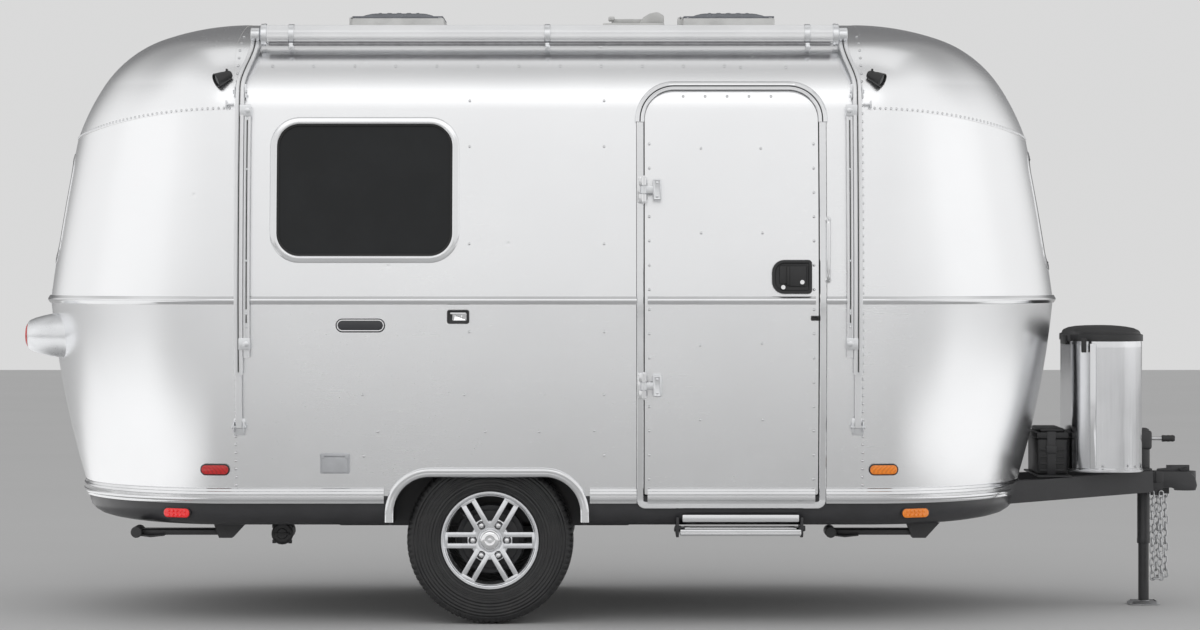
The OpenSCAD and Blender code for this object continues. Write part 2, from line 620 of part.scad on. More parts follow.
// Tongue: coupler, jack, gas bottle cover, battery box and safety chains.
ball_x = coupler_x - 48;
module coupler() color(black) difference() {
  union() {
    box(gas_x[1] - 12, coupler_x - 60, -58, 58, 520, 586);
    translate([ball_x, 0, 505]) cylinder(r = 48, h = 85);
    box(coupler_x - 130, coupler_x - 30, -14, 14, 585, 616);
    translate([gas_x[1] + 14, -120, beam_top(gas_x[1] + 14) + seat_gap]) rotate([0, -beam_rise, 0]) cube([52, 240, 8]);
    box(gas_x[1] + 16, gas_x[1] + 62, -54, 54, 570, beam_top(gas_x[1] + 14) + 7);
    for (c = chain_spots) {
      side = sign(c.y);
      box(c.x - 32, c.x + 32, min(side * 57, side * 66), max(side * 57, side * 66), 486, 540);
      for (s = [-1, 1]) rod_y(c.x + s * chain_half, chain_eye_z, 5, min(side * 60, side * (chain_y + 10)), max(side * 60, side * (chain_y + 10)));
    }
  }
  translate([jack_x, 0, 480]) cylinder(r = jack_r + 0.4, h = 200);
  translate([ball_x, 0, 500]) cylinder(r = ball_r, h = 50);
  translate([ball_x, 0, 550]) sphere(r = ball_r);
}
jack_bottom = 270;
module jack_post() color(black) {
  difference() {
    translate([jack_x, 0, jack_bottom]) cylinder(r = jack_r, h = 700 - jack_bottom);
    translate([jack_x, 0, jack_bottom - 1]) cylinder(r = jack_r - 4, h = 682 - jack_bottom);
  }
  box(jack_x - 34, jack_x + 34, -34, 34, 690, 770);
  rod_x(0, 734, 9, jack_x + 30, jack_x + 80);
  translate([jack_x + 80, 0, 734]) rotate([0, 90, 0]) cylinder(r = 15, h = 60);
}
module jack_leg() color([0.55, 0.56, 0.58]) {
  difference() {
    translate([jack_x, 0, 10]) cylinder(r = jack_r - 4.6, h = 410);
    translate([jack_x, 0, 40]) cylinder(r = jack_r - 9, h = 400);
  }
  box(jack_x - 66, jack_x + 66, -66, 66, 0, 12);
}
gas_x = [front_x + 78, front_x + 368];
seat_gap = 0.9;
gas_z = beam_top(gas_x[1] + 10) + seat_gap;
module gas_plan(grow) polygon([for (p = rounded(gas_x[1] - gas_x[0] + 2 * grow, 650 + 2 * grow, 138 + grow, 138 + grow))
  [p.x + (gas_x[0] + gas_x[1]) / 2, p.y]]);
module gas_cover() color(bright) {
  translate([0, 0, gas_z + 7.5]) linear_extrude(height = 1172 - gas_z - 7.5) gas_plan(0);
  box(gas_x[0] - 8, gas_x[1] + 10, -250, 250, gas_z, gas_z + 8);
}
module gas_cover_lid() color(black) {
  translate([0, 0, 1172]) linear_extrude(height = 30) gas_plan(5);
  translate([0, 0, 1201]) linear_extrude(height = 20) gas_plan(-14);
  translate([0, 0, 1220]) linear_extrude(height = 18) gas_plan(-60);
}
battery_x = [front_x - 88, front_x + 60];
battery_z = beam_top(battery_x[1]) + seat_gap;
module battery_box() color(black) {
  box(battery_x[0], battery_x[1], -290, 290, battery_z, battery_z + 8);
  box(battery_x[0] + 8, battery_x[1] - 6, -190, 190, battery_z + 7, battery_z + 165);
  box(battery_x[0] + 4, battery_x[1] - 2, -196, 196, battery_z + 164, battery_z + 211);
}
// Welded link of a chain, lying along its own X, in the plane of the sign.
module link() difference() {
  translate([0, 0, -3.5]) linear_extrude(height = 7) polygon(rounded(44, 26, 12.9, 12.9, 4));
  translate([0, 0, -4]) linear_extrude(height = 8) polygon(rounded(30, 12, 5.9, 5.9, 3));
}
// A chain hung as a narrow loop: two upright runs of links and one link across the bottom.
link_pitch = 29.7;
chain_n = 13;
chain_half = 18.5;
chain_eye_z = 497;
chain_top_z = chain_eye_z - 9.7;
chain_y = 86;
chain_spots = [[jack_x + 46, -chain_y], [jack_x + 90, chain_y]];
module chain() {
  for (s = [-1, 1]) for (k = [0 : chain_n - 1])
    translate([s * chain_half, 0, chain_top_z - k * link_pitch]) rotate([0, 90, 0]) rotate([k % 2 == 0 ? 90 : 0, 0, 0]) link();
  translate([0, 0, chain_top_z - (chain_n - 1) * link_pitch - 11.2]) link();
}
module safety_chains() color([0.35, 0.35, 0.36]) for (c = chain_spots) translate([c.x, c.y, 0]) chain();

// Torsion axle: a square beam under the pan, two trailing arms and the wheel spindles.
beam_ax = axle_x + 140;
axle_tube_z = tyre_r + 8;
module axle() color(charcoal) {
  box(beam_ax - 36, beam_ax + 36, -705, 705, axle_tube_z - 36, axle_tube_z + 32);
  both_sides() {
    box(beam_ax - 60, beam_ax + 60, -600, -480, axle_tube_z + 31, 389.8);
    box(axle_x - 30, beam_ax + 36, -735, -704, tyre_r - 26, tyre_r + 30);
    rod_y(axle_x, tyre_r, 38, -752, -704);
    rod_y(axle_x, tyre_r, 17, -track_half - 40, -704);
  }
}
module tyre() color(black) translate([axle_x, -track_half, tyre_r]) rotate([90, 0, 0]) rotate_extrude($fn = 96)
  polygon([[rim_r - 8, -72], [rim_r + 8, -92], [rim_r + 52, -tyre_w / 2], [tyre_r - 48, -tyre_w / 2 + 2], [tyre_r - 18, -tyre_w / 2 + 14],
    [tyre_r - 4, -tyre_w / 2 + 30], [tyre_r, 0], [tyre_r - 4, tyre_w / 2 - 30], [tyre_r - 18, tyre_w / 2 - 14],
    [tyre_r - 48, tyre_w / 2 - 2], [rim_r + 52, tyre_w / 2], [rim_r + 8, 92], [rim_r - 8, 72]]);
module rim() color(silver) translate([axle_x, -track_half, tyre_r]) rotate([90, 0, 0]) {
  rotate_extrude($fn = 72) polygon([[rim_r - 22, -84], [rim_r - 8.3, -84], [rim_r - 8.3, 72.5], [rim_r, 84], [rim_r, 92], [rim_r - 16, 92], [rim_r - 22, 87]]);
  difference() {
    union() {
      translate([0, 0, 52]) cylinder(r = 82, h = 30);
      for (k = [0 : spoke_pairs - 1]) rotate(k * 360 / spoke_pairs) for (s = [-1, 1])
        rotate(s * 9) translate([40, -9, 56]) cube([rim_r - 52, 18, 22]);
      translate([0, 0, -60]) cylinder(r = 148, h = 70);
      translate([0, 0, 5]) cylinder(r = 62, h = 60);
    }
    translate([0, 0, -61]) cylinder(r = 17.6, h = 105);
  }
  for (k = [0 : spoke_pairs - 1]) rotate(k * 360 / spoke_pairs) translate([62, 0, 80]) cylinder(r = 11, h = 19, $fn = 6);
  translate([0, 0, 80]) cylinder(r = 40, h = 21);
}
module tyre_curb() tyre();
module rim_curb() rim();
module tyre_road() mirror([0, 1, 0]) tyre();
module rim_road() mirror([0, 1, 0]) rim();

// Corner stabilisers: legs that fold up flat under the pan.
leg_y = belt_b - 318;
leg_z = 376;
leg_rear_x = -spine_x - 52;
leg_front_x = spine_x + 236;
leg_len = 372;
module leg(x, s) {
  difference() {
    union() {
      box(min(x, x - s * leg_len), max(x, x - s * leg_len), -leg_y - 24, -leg_y + 24, leg_z - 14, leg_z + 14);
      rod_y(x, leg_z, 20, -leg_y - 24, -leg_y + 24);
      rod_y(x - s * leg_len, leg_z, 24, -leg_y - 70, -leg_y + 70);
    }
    rod_y(x, leg_z, 8.4, -leg_y - 40, -leg_y + 40);
  }
}
module leg_rear_curb() color(charcoal) leg(leg_rear_x, 1);
module leg_rear_road() color(charcoal) mirror([0, 1, 0]) leg(leg_rear_x, 1);
module leg_front_curb() color(charcoal) leg(leg_front_x, 1);
module leg_front_road() color(charcoal) mirror([0, 1, 0]) leg(leg_front_x, 1);
module stabiliser_mounts() color(charcoal) both_sides() for (x = [leg_rear_x, leg_front_x]) {
  for (y = [-leg_y - 38, -leg_y + 26])
    along_y(y, y + 12) polygon([[x - 50, belly_z], [x + 90, belly_z], [x + 30, leg_z - 26], [x - 26, leg_z - 26]]);
  rod_y(x, leg_z, 8, -leg_y - 40, -leg_y + 40);
}

// Folded entry step under the doorway, and the drain outlet.
function pan_y(k) = -(belt_b - tuck_side - pan_steps[k][0] * 0.75);
module entry_step() color(bright) {
  front = pan_y(1) - 20;
  x0 = door_x + 142;
  x1 = door_x + 662;
  box(x0 + 22, x1 - 14, front, front + 16, 434, 462);
  box(x0 + 14, x1 - 6, front + 6, front + 207, 374, 402);
  for (x = [x0, x1 - 14]) along_x(x, x + 14)
    polygon(concat([[front, pan_steps[2][1]], [front, 372], [front + 217, 372], [front + 217, belly_z]],
      [for (k = [4 : -1 : 2]) [pan_y(k), pan_steps[k][1]]]));
}
module drain_outlet() color(black) {
  x = 187 - spine_x;
  y = 298 - belt_b;
  rod_y(x, 366, 46, y, y + 20);
  rod_y(x, 366, 38, y + 19, y + 260);
  box(x - 20, x + 20, y + 120, y + 200, 380, belly_z);
}

module row() translate([row_x, row_y, 0]) children();
row() side_wall_curb();
row() side_wall_road();
row() roof_panel();
row() front_wrap();
row() front_dome();
row() rear_wrap();
row() rear_dome();
row() floor_deck();
row() belly_pan();
row() chassis_curb();
row() chassis_road();
row() wheel_tubs();
row() belt_rail();
row() base_rail();
row() arch_trims();
row() door_frame();
row() window_frames();
row() window_glass();
row() awning_roll();
row() awning_arm_front();
row() awning_arm_rear();
row() flood_lamps();
row() tail_lamp_housings();
row() lamps_red();
row() lamps_amber();
row() service_hatches();
row() door_catch();
row() name_plate();
row() grab_handle();
row() roof_vent_bases();
row() roof_aerial();
row() coupler();
row() jack_post();
row() gas_cover();
row() gas_cover_lid();
row() battery_box();
row() safety_chains();
row() axle();
row() stabiliser_mounts();
row() entry_step();
row() drain_outlet();
row() tyre_curb();
row() rim_curb();
row() tyre_road();
row() rim_road();
row() door_panel();
row() door_trim();
row() door_lock();
row() jack_leg();
row() leg_rear_curb();
row() leg_rear_road();
row() leg_front_curb();
row() leg_front_road();
row() vent_lid_rear();
row() vent_lid_front();
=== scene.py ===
"""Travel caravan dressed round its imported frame: finishes, fittings, light and camera.

All sizes are in metres. Shapes are drawn in the body's own frame, with x = 0 at the middle of the
body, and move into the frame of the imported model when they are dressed.
"""

from __future__ import annotations

import json
import logging
import math
import sys
from dataclasses import dataclass, field
from enum import Enum
from typing import Any, Callable, Iterable, Sequence

import bpy
import numpy as np
from mathutils import Matrix, Vector

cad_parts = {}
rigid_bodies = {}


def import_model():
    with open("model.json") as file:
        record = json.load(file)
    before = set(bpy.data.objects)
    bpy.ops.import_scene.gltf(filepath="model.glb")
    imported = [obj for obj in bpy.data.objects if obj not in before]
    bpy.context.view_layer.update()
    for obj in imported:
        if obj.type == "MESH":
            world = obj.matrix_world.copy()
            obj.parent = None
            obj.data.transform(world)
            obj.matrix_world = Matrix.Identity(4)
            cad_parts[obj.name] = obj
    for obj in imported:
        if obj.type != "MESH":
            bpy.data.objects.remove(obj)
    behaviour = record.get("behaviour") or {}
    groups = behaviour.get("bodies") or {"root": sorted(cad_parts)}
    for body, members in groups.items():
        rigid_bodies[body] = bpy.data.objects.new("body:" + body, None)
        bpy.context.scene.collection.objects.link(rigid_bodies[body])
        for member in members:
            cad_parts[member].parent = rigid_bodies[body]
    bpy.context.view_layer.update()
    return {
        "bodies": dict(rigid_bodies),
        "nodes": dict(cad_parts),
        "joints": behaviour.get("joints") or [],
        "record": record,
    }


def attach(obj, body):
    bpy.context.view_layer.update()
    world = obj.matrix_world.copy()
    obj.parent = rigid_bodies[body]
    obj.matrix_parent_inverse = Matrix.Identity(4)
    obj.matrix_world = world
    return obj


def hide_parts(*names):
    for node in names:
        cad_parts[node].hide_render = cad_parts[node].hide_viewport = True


LOG = logging.getLogger("caravan")
ORIGIN = Vector((-0.289, 0.020, 0.0))
ROOT = "caravan"
HERE = (0, 0, 0)
ALONG, ACROSS, UP, OUT = (1, 0, 0), (0, 1, 0), (0, 0, 1), (0, -1, 0)
SHARP = math.radians(30)
FITTING_SINK = 0.003
DOOR_X, DOOR_W, DOOR_LOW, DOOR_TOP, DOOR_CORNER = 0.392, 0.732, 0.516, 2.235, 0.128
VENT_XS = (-0.675, 0.777)
ARCH, ARCH_CORNER = (-0.260, 0.459, 0.776, 0.318), 0.150
Array = np.ndarray
Obj = bpy.types.Object
Pair = tuple[float, float]
Point = tuple[float, float, float]
Four = tuple[float, float, float, float]
Five = tuple[float, float, float, float, float]
Pairs = tuple[Pair, ...]
Loop = Sequence[Pair]


class Side(Enum):
    """Sides of the caravan, by the sign of y."""

    CURB = -1
    ROAD = 1


class End(Enum):
    """Ends of the caravan, by the sign of x."""

    FRONT = 1
    REAR = -1


# Shader building


class Sock:
    """A node socket that takes part in Python expressions."""

    def __init__(self, tree: bpy.types.NodeTree, socket: bpy.types.NodeSocket) -> None:
        """Keeps the tree and the output socket."""
        self.tree = tree
        self.socket = socket

    def _math(self, operation: str, a: "Sock | float", b: "Sock | float") -> "Sock":
        """One Math node.

        Args:
            operation: The Math node's operation.
            a: First value.
            b: Second value.

        Returns:
            The node's result.
        """
        node = self.tree.nodes.new("ShaderNodeMath")
        node.operation = operation
        for slot, value in zip(node.inputs, (a, b)):
            if isinstance(value, Sock):
                self.tree.links.new(value.socket, slot)
            else:
                slot.default_value = value
        return Sock(self.tree, node.outputs[0])

    def __add__(self, other: "Sock | float") -> "Sock":
        """Sum."""
        return self._math("ADD", self, other)

    __radd__ = __add__

    def __sub__(self, other: "Sock | float") -> "Sock":
        """Difference."""
        return self._math("SUBTRACT", self, other)

    def __rsub__(self, other: float) -> "Sock":
        """Difference, reflected."""
        return self._math("SUBTRACT", other, self)

    def __mul__(self, other: "Sock | float") -> "Sock":
        """Product."""
        return self._math("MULTIPLY", self, other)

    __rmul__ = __mul__

    def __truediv__(self, other: "Sock | float") -> "Sock":
        """Quotient."""
        return self._math("DIVIDE", self, other)

    def power(self, other: float) -> "Sock":
        """Power."""
        return self._math("POWER", self, other)

    def wave(self) -> "Sock":
        """Sine."""
        return self._math("SINE", self, 0.0)

    def size(self) -> "Sock":
        """Absolute value."""
        return self._math("ABSOLUTE", self, 0.0)


Value = "Sock | float | Sequence[float]"


class Paint:
    """A material under construction, with one node method."""

    def __init__(self, name: str, tree: bpy.types.NodeTree | None = None) -> None:
        """Starts an empty material of that name, or empties a world's node tree."""
        if tree is None:
            self.material = bpy.data.materials.new(name)
            self.material.use_nodes = True
        self.tree = tree or self.material.node_tree
        self.tree.nodes.clear()
        coords = self.tree.nodes.new("ShaderNodeTexCoord")
        self.place = Sock(self.tree, coords.outputs["Object"])
        self.way = Sock(self.tree, coords.outputs["Generated"])

    def node(self, kind: str, out: str | int = 0, settings: dict | None = None, **inputs: object) -> Sock:
        """Adds one node.

        Args:
            kind: Node type without its ShaderNode prefix.
            out: Name or number of the output to return.
            settings: Attributes to set first; "stops" sets a ramp's stops.
            **inputs: Values or links by socket name, with _ for a space; a number after i picks by index.

        Returns:
            The chosen output.
        """
        made = self.tree.nodes.new("ShaderNode" + kind)
        for key, value in (settings or {}).items():
            if key == "stops":
                ramp = made.color_ramp
                while len(ramp.elements) < len(value):
                    ramp.elements.new(0.5)
                for element, (spot, colour) in zip(ramp.elements, value):
                    element.position = spot
                    element.color = (*colour, 1.0) if len(colour) == 3 else colour
            else:
                setattr(made, key, value)
        for key, value in inputs.items():
            by_index = key[0] == "i" and key[1:].isdigit()
            slot = made.inputs[int(key[1:]) if by_index else key.replace("_", " ")]
            if isinstance(value, Sock):
                self.tree.links.new(value.socket, slot)
            elif slot.type == "RGBA" and len(value) == 3:
                slot.default_value = (*value, 1.0)
            else:
                slot.default_value = value
        return Sock(self.tree, made.outputs[out])

    def stretch(self, scale: Point, turn: Point = HERE) -> Sock:
        """Object coordinates scaled and turned.

        Args:
            scale: Scale along each axis.
            turn: Rotation in radians.

        Returns:
            The mapped vector.
        """
        return self.node("Mapping", Vector=self.place, Rotation=turn, Scale=scale)

    def noise(self, vector: Sock, scale: float, detail: float = 3.0, rough: float = 0.55) -> Sock:
        """Noise from 0 to 1 at a scale per metre."""
        return self.node("TexNoise", "Fac", Vector=vector, Scale=scale, Detail=detail, Roughness=rough)

    def ramp(self, value: Sock, low: float, high: float) -> Sock:
        """Smooth step of a value from 0 at low to 1 at high."""
        return self.node(
            "MapRange", 0, {"interpolation_type": "SMOOTHSTEP", "clamp": True}, Value=value, From_Min=low, From_Max=high
        )

    def mix(self, share: Sock, first: "Sequence[float] | Sock", second: "Sequence[float] | Sock") -> Sock:
        """Mixes two colours by a share."""
        return self.node("Mix", 2, {"data_type": "RGBA"}, i0=share, i6=first, i7=second)

    def bump(self, height: Sock, strength: float, distance: float, normal: Sock | None = None) -> Sock:
        """Bump from a height, over another bump where one is given."""
        extra = {} if normal is None else {"Normal": normal}
        return self.node("Bump", 0, None, Height=height, Strength=strength, Distance=distance, **extra)

    def close(self, **sockets: object) -> bpy.types.Material:
        """Ends in a Principled shader.

        Args:
            **sockets: The shader's sockets by name, with _ for a space.

        Returns:
            The finished material.
        """
        shader = self.node("BsdfPrincipled", "BSDF", None, **sockets)
        output = self.tree.nodes.new("ShaderNodeOutputMaterial")
        self.tree.links.new(shader.socket, output.inputs["Surface"])
        return self.material


def lighter(colour: Sequence[float], by: float) -> tuple[float, ...]:
    """A colour times a factor, held under 1."""
    return tuple(min(1.0, c * by) for c in colour)


@dataclass(frozen=True)
class Metal:
    """Bare or coated metal with grain, soft blotches and handling marks."""

    name: str
    colour: Point
    roughness: float = 0.28
    grain: Point = (40.0, 40.0, 40.0)
    grain_depth: float = 0.00003
    blotch: float = 0.06
    blotch_scale: float = 3.0
    wave_depth: float = 0.0
    wave_scale: float = 2.2
    metallic: float = 1.0
    low_darkening: float = 0.0
    uneven: float = 1.0
    dents: float = 0.0

    def build(self) -> bpy.types.Material:
        """Makes the material."""
        p = Paint(self.name)
        fine = p.noise(p.stretch(self.grain), 8.0, 4.0, 0.65)
        broad = p.noise(p.place, self.blotch_scale, 3.0)
        marks = p.ramp(p.noise(p.stretch((9, 9, 60), (0.3, 0.2, 0.5)), 6.0, 4.0), 0.62, 0.74)
        share = broad * 0.75 + fine * 0.25
        colour = p.mix(
            p.ramp(share, 0.3, 0.7), lighter(self.colour, 1 - self.blotch), lighter(self.colour, 1 + self.blotch * 0.6)
        )
        # Darker grey-brown in noisy patches towards the bottom: full below 0.42 m, gone above 0.95 m.
        if self.low_darkening:
            low = p.node("SeparateXYZ", "Z", None, Vector=p.place)
            low_share = (1.0 - p.ramp(low, 0.42, 0.95)) * p.ramp(p.noise(p.place, 7.0, 5.0), 0.35, 0.7) * self.low_darkening
            colour = p.mix(low_share, colour, (0.42, 0.41, 0.39))
        rough = self.roughness + ((broad - 0.5) * 0.10 + (fine - 0.5) * 0.14 + marks * 0.05) * self.uneven
        normal = p.bump(fine, 0.35, self.grain_depth)
        if self.wave_depth:
            normal = p.bump(p.noise(p.place, self.wave_scale, 1.5), 1.0, self.wave_depth, normal)
        if self.dents:
            spots = p.node("TexVoronoi", "Distance", None, Vector=p.place, Scale=3.2)
            normal = p.bump(p.ramp(spots, 0.0, 0.045), 1.0, self.dents, normal)
        return p.close(Base_Color=colour, Metallic=self.metallic, Roughness=rough, Normal=normal)


@dataclass(frozen=True)
class Plastic:
    """Moulded plastic or paint with a pebbled face and scuffs."""

    name: str
    colour: Point
    roughness: float = 0.45
    pebble: float = 900.0
    pebble_depth: float = 0.00006
    scuff: float = 0.12
    coat: float = 0.0

    def build(self) -> bpy.types.Material:
        """Makes the material."""
        p = Paint(self.name)
        cells = p.noise(p.place, self.pebble, 2.0)
        broad = p.noise(p.place, 9.0, 4.0)
        scuffs = p.ramp(p.noise(p.stretch((4, 30, 30), (0.2, 0.4, 0.1)), 5.0, 5.0), 0.60, 0.78)
        colour = p.mix(p.ramp(broad, 0.3, 0.7), lighter(self.colour, 0.86), lighter(self.colour, 1.1))
        colour = p.mix(scuffs * self.scuff, colour, lighter(self.colour, 2.2))
        rough = self.roughness + (broad - 0.5) * 0.16 + scuffs * 0.10
        normal = p.bump(cells, 0.5, self.pebble_depth)
        return p.close(Base_Color=colour, Roughness=rough, Normal=normal, Coat_Weight=self.coat)


@dataclass(frozen=True)
class Lens:
    """Coloured lamp lens with small prisms, and a faint painted light of its own colour, as if the lamp were on."""

    name: str
    colour: Point
    prism: float = 420.0
    painted_shine: float = 0.12

    def build(self) -> bpy.types.Material:
        """Makes the material."""
        p = Paint(self.name)
        cells = p.node("TexVoronoi", "Distance", {"feature": "F1"}, Vector=p.place, Scale=self.prism, Randomness=0.1)
        haze = p.noise(p.place, 30.0, 3.0)
        colour = p.mix(p.ramp(cells, 0.2, 0.75), lighter(self.colour, 1.25), lighter(self.colour, 0.6))
        normal = p.bump(cells, 0.3, 0.0006)
        return p.close(
            Base_Color=colour,
            Roughness=0.10 + haze * 0.12,
            Normal=normal,
            Coat_Weight=0.6,
            # The emission is painted light: the lens shines though no lamp is on inside it.
            Emission_Color=colour,
            Emission_Strength=self.painted_shine,
        )


@dataclass(frozen=True)
class Glass:
    """Dark tinted window glass with a trace of dust."""

    name: str
    colour: Point = (0.012, 0.013, 0.014)

    def build(self) -> bpy.types.Material:
        """Makes the material."""
        p = Paint(self.name)
        dust = p.noise(p.place, 5.0, 5.0)
        colour = p.mix(p.ramp(dust, 0.35, 0.8), self.colour, lighter(self.colour, 1.3))
        wave = p.bump(p.noise(p.place, 2.5, 1.0), 0.25, 0.002)
        return p.close(Base_Color=colour, Roughness=0.06 + dust * 0.05, Normal=wave, Specular_IOR_Level=0.26)


@dataclass(frozen=True)
class Rubber:
    """Tyre rubber with a dusty bloom and fine moulding lines."""

    name: str
    colour: Point = (0.019, 0.019, 0.020)
    ring_pitch: float = 0.0135
    hub: Pair = (-0.539, 0.350)

    def build(self) -> bpy.types.Material:
        """Makes the material."""
        p = Paint(self.name)
        broad = p.noise(p.place, 14.0, 5.0)
        fine = p.noise(p.place, 320.0, 2.0)
        bloom = p.ramp(broad, 0.42, 0.75)
        x, z = (p.node("SeparateXYZ", axis, None, Vector=p.place) - middle for axis, middle in zip("XZ", self.hub))
        far = (x * x + z * z).power(0.5)
        rings = (far * (2 * math.pi / self.ring_pitch)).wave()
        ribs = rings * p.ramp(far, 0.222, 0.232) * (1.0 - p.ramp(far, 0.318, 0.328))
        colour = p.mix(bloom * 0.30, self.colour, (0.060, 0.059, 0.057))
        return p.close(
            Base_Color=colour,
            Roughness=0.46 + (fine - 0.5) * 0.2 + bloom * 0.14,
            Normal=p.bump(fine, 0.4, 0.0003, p.bump(ribs, 1.0, 0.0016)),
        )


@dataclass(frozen=True)
class Board:
    """Floor board or wall lining with a soft grain along x."""

    name: str
    colour: Point
    second: Point
    rings: float = 3.0

    def build(self) -> bpy.types.Material:
        """Makes the material."""
        p = Paint(self.name)
        long = p.noise(p.stretch((1.2, 14, 14)), self.rings, 5.0, 0.6)
        pores = p.noise(p.stretch((12, 260, 260)), 3.0, 2.0)
        colour = p.mix(p.ramp(long, 0.35, 0.65), self.colour, self.second)
        colour = p.mix(p.ramp(pores, 0.62, 0.8) * 0.35, colour, lighter(self.second, 0.6))
        return p.close(Base_Color=colour, Roughness=0.5 + (long - 0.5) * 0.2, Normal=p.bump(pores, 0.3, 0.0003))


# Bench work


class Bench:
    """Edit-mode tools, used on one new object at a time."""

    @staticmethod
    def fresh() -> None:
        """Leaves edit mode and deselects everything."""
        if bpy.context.mode != "OBJECT":
            bpy.ops.object.mode_set(mode="OBJECT")
        bpy.ops.object.select_all(action="DESELECT")

    @staticmethod
    def take(name: str) -> Obj:
        """Names the active object and puts its place into its mesh."""
        bpy.ops.object.transform_apply(location=True, rotation=True, scale=True)
        made = bpy.context.object
        made.name = made.data.name = name
        return made

    @staticmethod
    def hold(obj: Obj) -> None:
        """Makes an object the only selected one."""
        Bench.fresh()
        obj.select_set(True)
        bpy.context.view_layer.objects.active = obj

    @staticmethod
    def pick(obj: Obj, test: Callable[[Vector, Vector], bool], kind: str = "FACE") -> None:
        """Selects faces or vertices by place and normal, and goes to edit mode.

        Args:
            obj: The object.
            test: Takes a middle point and a normal.
            kind: FACE or VERT.
        """
        Bench.hold(obj)
        bpy.ops.object.mode_set(mode="EDIT")
        bpy.ops.mesh.select_mode(type=kind)
        bpy.ops.mesh.select_all(action="DESELECT")
        bpy.ops.object.mode_set(mode="OBJECT")
        if kind == "FACE":
            for face in obj.data.polygons:
                face.select = test(face.center, face.normal)
        else:
            for vertex in obj.data.vertices:
                vertex.select = test(vertex.co, vertex.normal)
        bpy.ops.object.mode_set(mode="EDIT")

    @staticmethod
    def done() -> None:
        """Back to object mode."""
        bpy.ops.object.mode_set(mode="OBJECT")

    @staticmethod
    def edit(obj: Obj) -> None:
        """Goes to edit mode with the whole of one object selected."""
        Bench.hold(obj)
        bpy.ops.object.mode_set(mode="EDIT")
        bpy.ops.mesh.select_all(action="SELECT")

    @staticmethod
    def flip(obj: Obj) -> None:
        """Turns every face over."""
        Bench.pick(obj, lambda c, n: True)
        bpy.ops.mesh.flip_normals()
        Bench.done()

    @staticmethod
    def close_ends(obj: Obj) -> Obj:
        """Fills the open ends of a swept strip and turns its faces outwards."""
        Bench.edit(obj)
        bpy.ops.mesh.fill_holes(sides=0)
        bpy.ops.mesh.normals_make_consistent(inside=False)
        Bench.done()
        return obj

    @staticmethod
    def bevel(obj: Obj, width: float, segments: int = 2) -> Obj:
        """Rounds every sharp edge, with a bevel modifier that is applied."""
        Bench.hold(obj)
        cut = obj.modifiers.new("bevel", "BEVEL")
        cut.width, cut.segments = width, segments
        cut.limit_method, cut.angle_limit = "ANGLE", SHARP
        cut.use_clamp_overlap = True
        bpy.ops.object.modifier_apply(modifier=cut.name)
        return obj

    @staticmethod
    def weld(obj: Obj, inside: Point | None = None) -> Obj:
        """Merges doubles and turns the faces outwards.

        Args:
            obj: The object.
            inside: A point behind an open sheet; a closed form needs none.

        Returns:
            The object.
        """
        Bench.pick(obj, lambda c, n: True, "VERT")
        bpy.ops.mesh.remove_doubles(threshold=2e-5)
        if inside is None:
            bpy.ops.mesh.normals_make_consistent(inside=False)
        Bench.done()
        if inside is not None:
            turned = sum((f.center - Vector(inside)).dot(f.normal) * f.area for f in obj.data.polygons)
            if turned < 0:
                Bench.flip(obj)
        return obj

    @staticmethod
    def block(name: str, low: Point, high: Point, round_by: float = 0.003, segments: int = 2) -> Obj:
        """A cube shaped to two corners, with rounded edges."""
        Bench.fresh()
        mid = [(a + b) / 2 for a, b in zip(low, high)]
        size = [abs(b - a) for a, b in zip(low, high)]
        bpy.ops.mesh.primitive_cube_add(size=1, location=mid, scale=size)
        made = Bench.take(name)
        return Bench.bevel(made, min(round_by, 0.45 * min(size)), segments) if round_by else made

    @staticmethod
    def turned(name: str, profile: Loop, at: Point, axis: Point, steps: int = 32) -> Obj:
        """A turned form: a circle extruded and resized along its axis.

        Args:
            name: Object name.
            profile: Radius and height pairs; a zero radius closes the form.
            at: Foot of the axis.
            axis: Direction of the axis.
            steps: Sides of the circle.

        Returns:
            The object.
        """
        Bench.fresh()
        points = [(max(r, 1e-5), h) for r, h in profile]
        bpy.ops.mesh.primitive_circle_add(vertices=steps, radius=points[0][0], location=(0, 0, points[0][1]))
        made = Bench.take(name)
        Bench.edit(made)
        for (r0, h0), (r1, h1) in zip(points, points[1:]):
            bpy.ops.mesh.extrude_edges_move(TRANSFORM_OT_translate={"value": (0, 0, h1 - h0)})
            bpy.ops.transform.resize(value=(r1 / r0, r1 / r0, 1))
        Bench.done()
        made.data.transform(Vector(UP).rotation_difference(Vector(axis)).to_matrix().to_4x4())
        made.data.transform(Matrix.Translation(at))
        return Bench.weld(made)

    @staticmethod
    def plate(name: str, loop: Loop, depth: float, at: Point, facing: str, edge: float = 0.0) -> Obj:
        """A flat outline made from a circle's corners and extruded.

        Args:
            name: Object name.
            loop: Closed outline, in x and z for facing Y, y and z for X, x and y for Z.
            depth: How far it is extruded along the facing axis.
            at: Start of the outline's plane.
            facing: X, Y or Z.
            edge: Bevel of its edges.

        Returns:
            The object.
        """
        Bench.fresh()
        bpy.ops.mesh.primitive_circle_add(vertices=len(loop), radius=1, fill_type="NGON")
        made = Bench.take(name)
        for vertex, (a, b) in zip(made.data.vertices, loop):
            vertex.co = {"X": (0, a, b), "Y": (a, 0, b), "Z": (a, b, 0)}[facing]
        made.data.transform(Matrix.Translation(at))
        move = {"X": (depth, 0, 0), "Y": (0, depth, 0), "Z": (0, 0, depth)}[facing]
        Bench.edit(made)
        bpy.ops.mesh.extrude_region_move(TRANSFORM_OT_translate={"value": move})
        Bench.done()
        Bench.weld(made)
        return Bench.bevel(made, edge) if edge else made

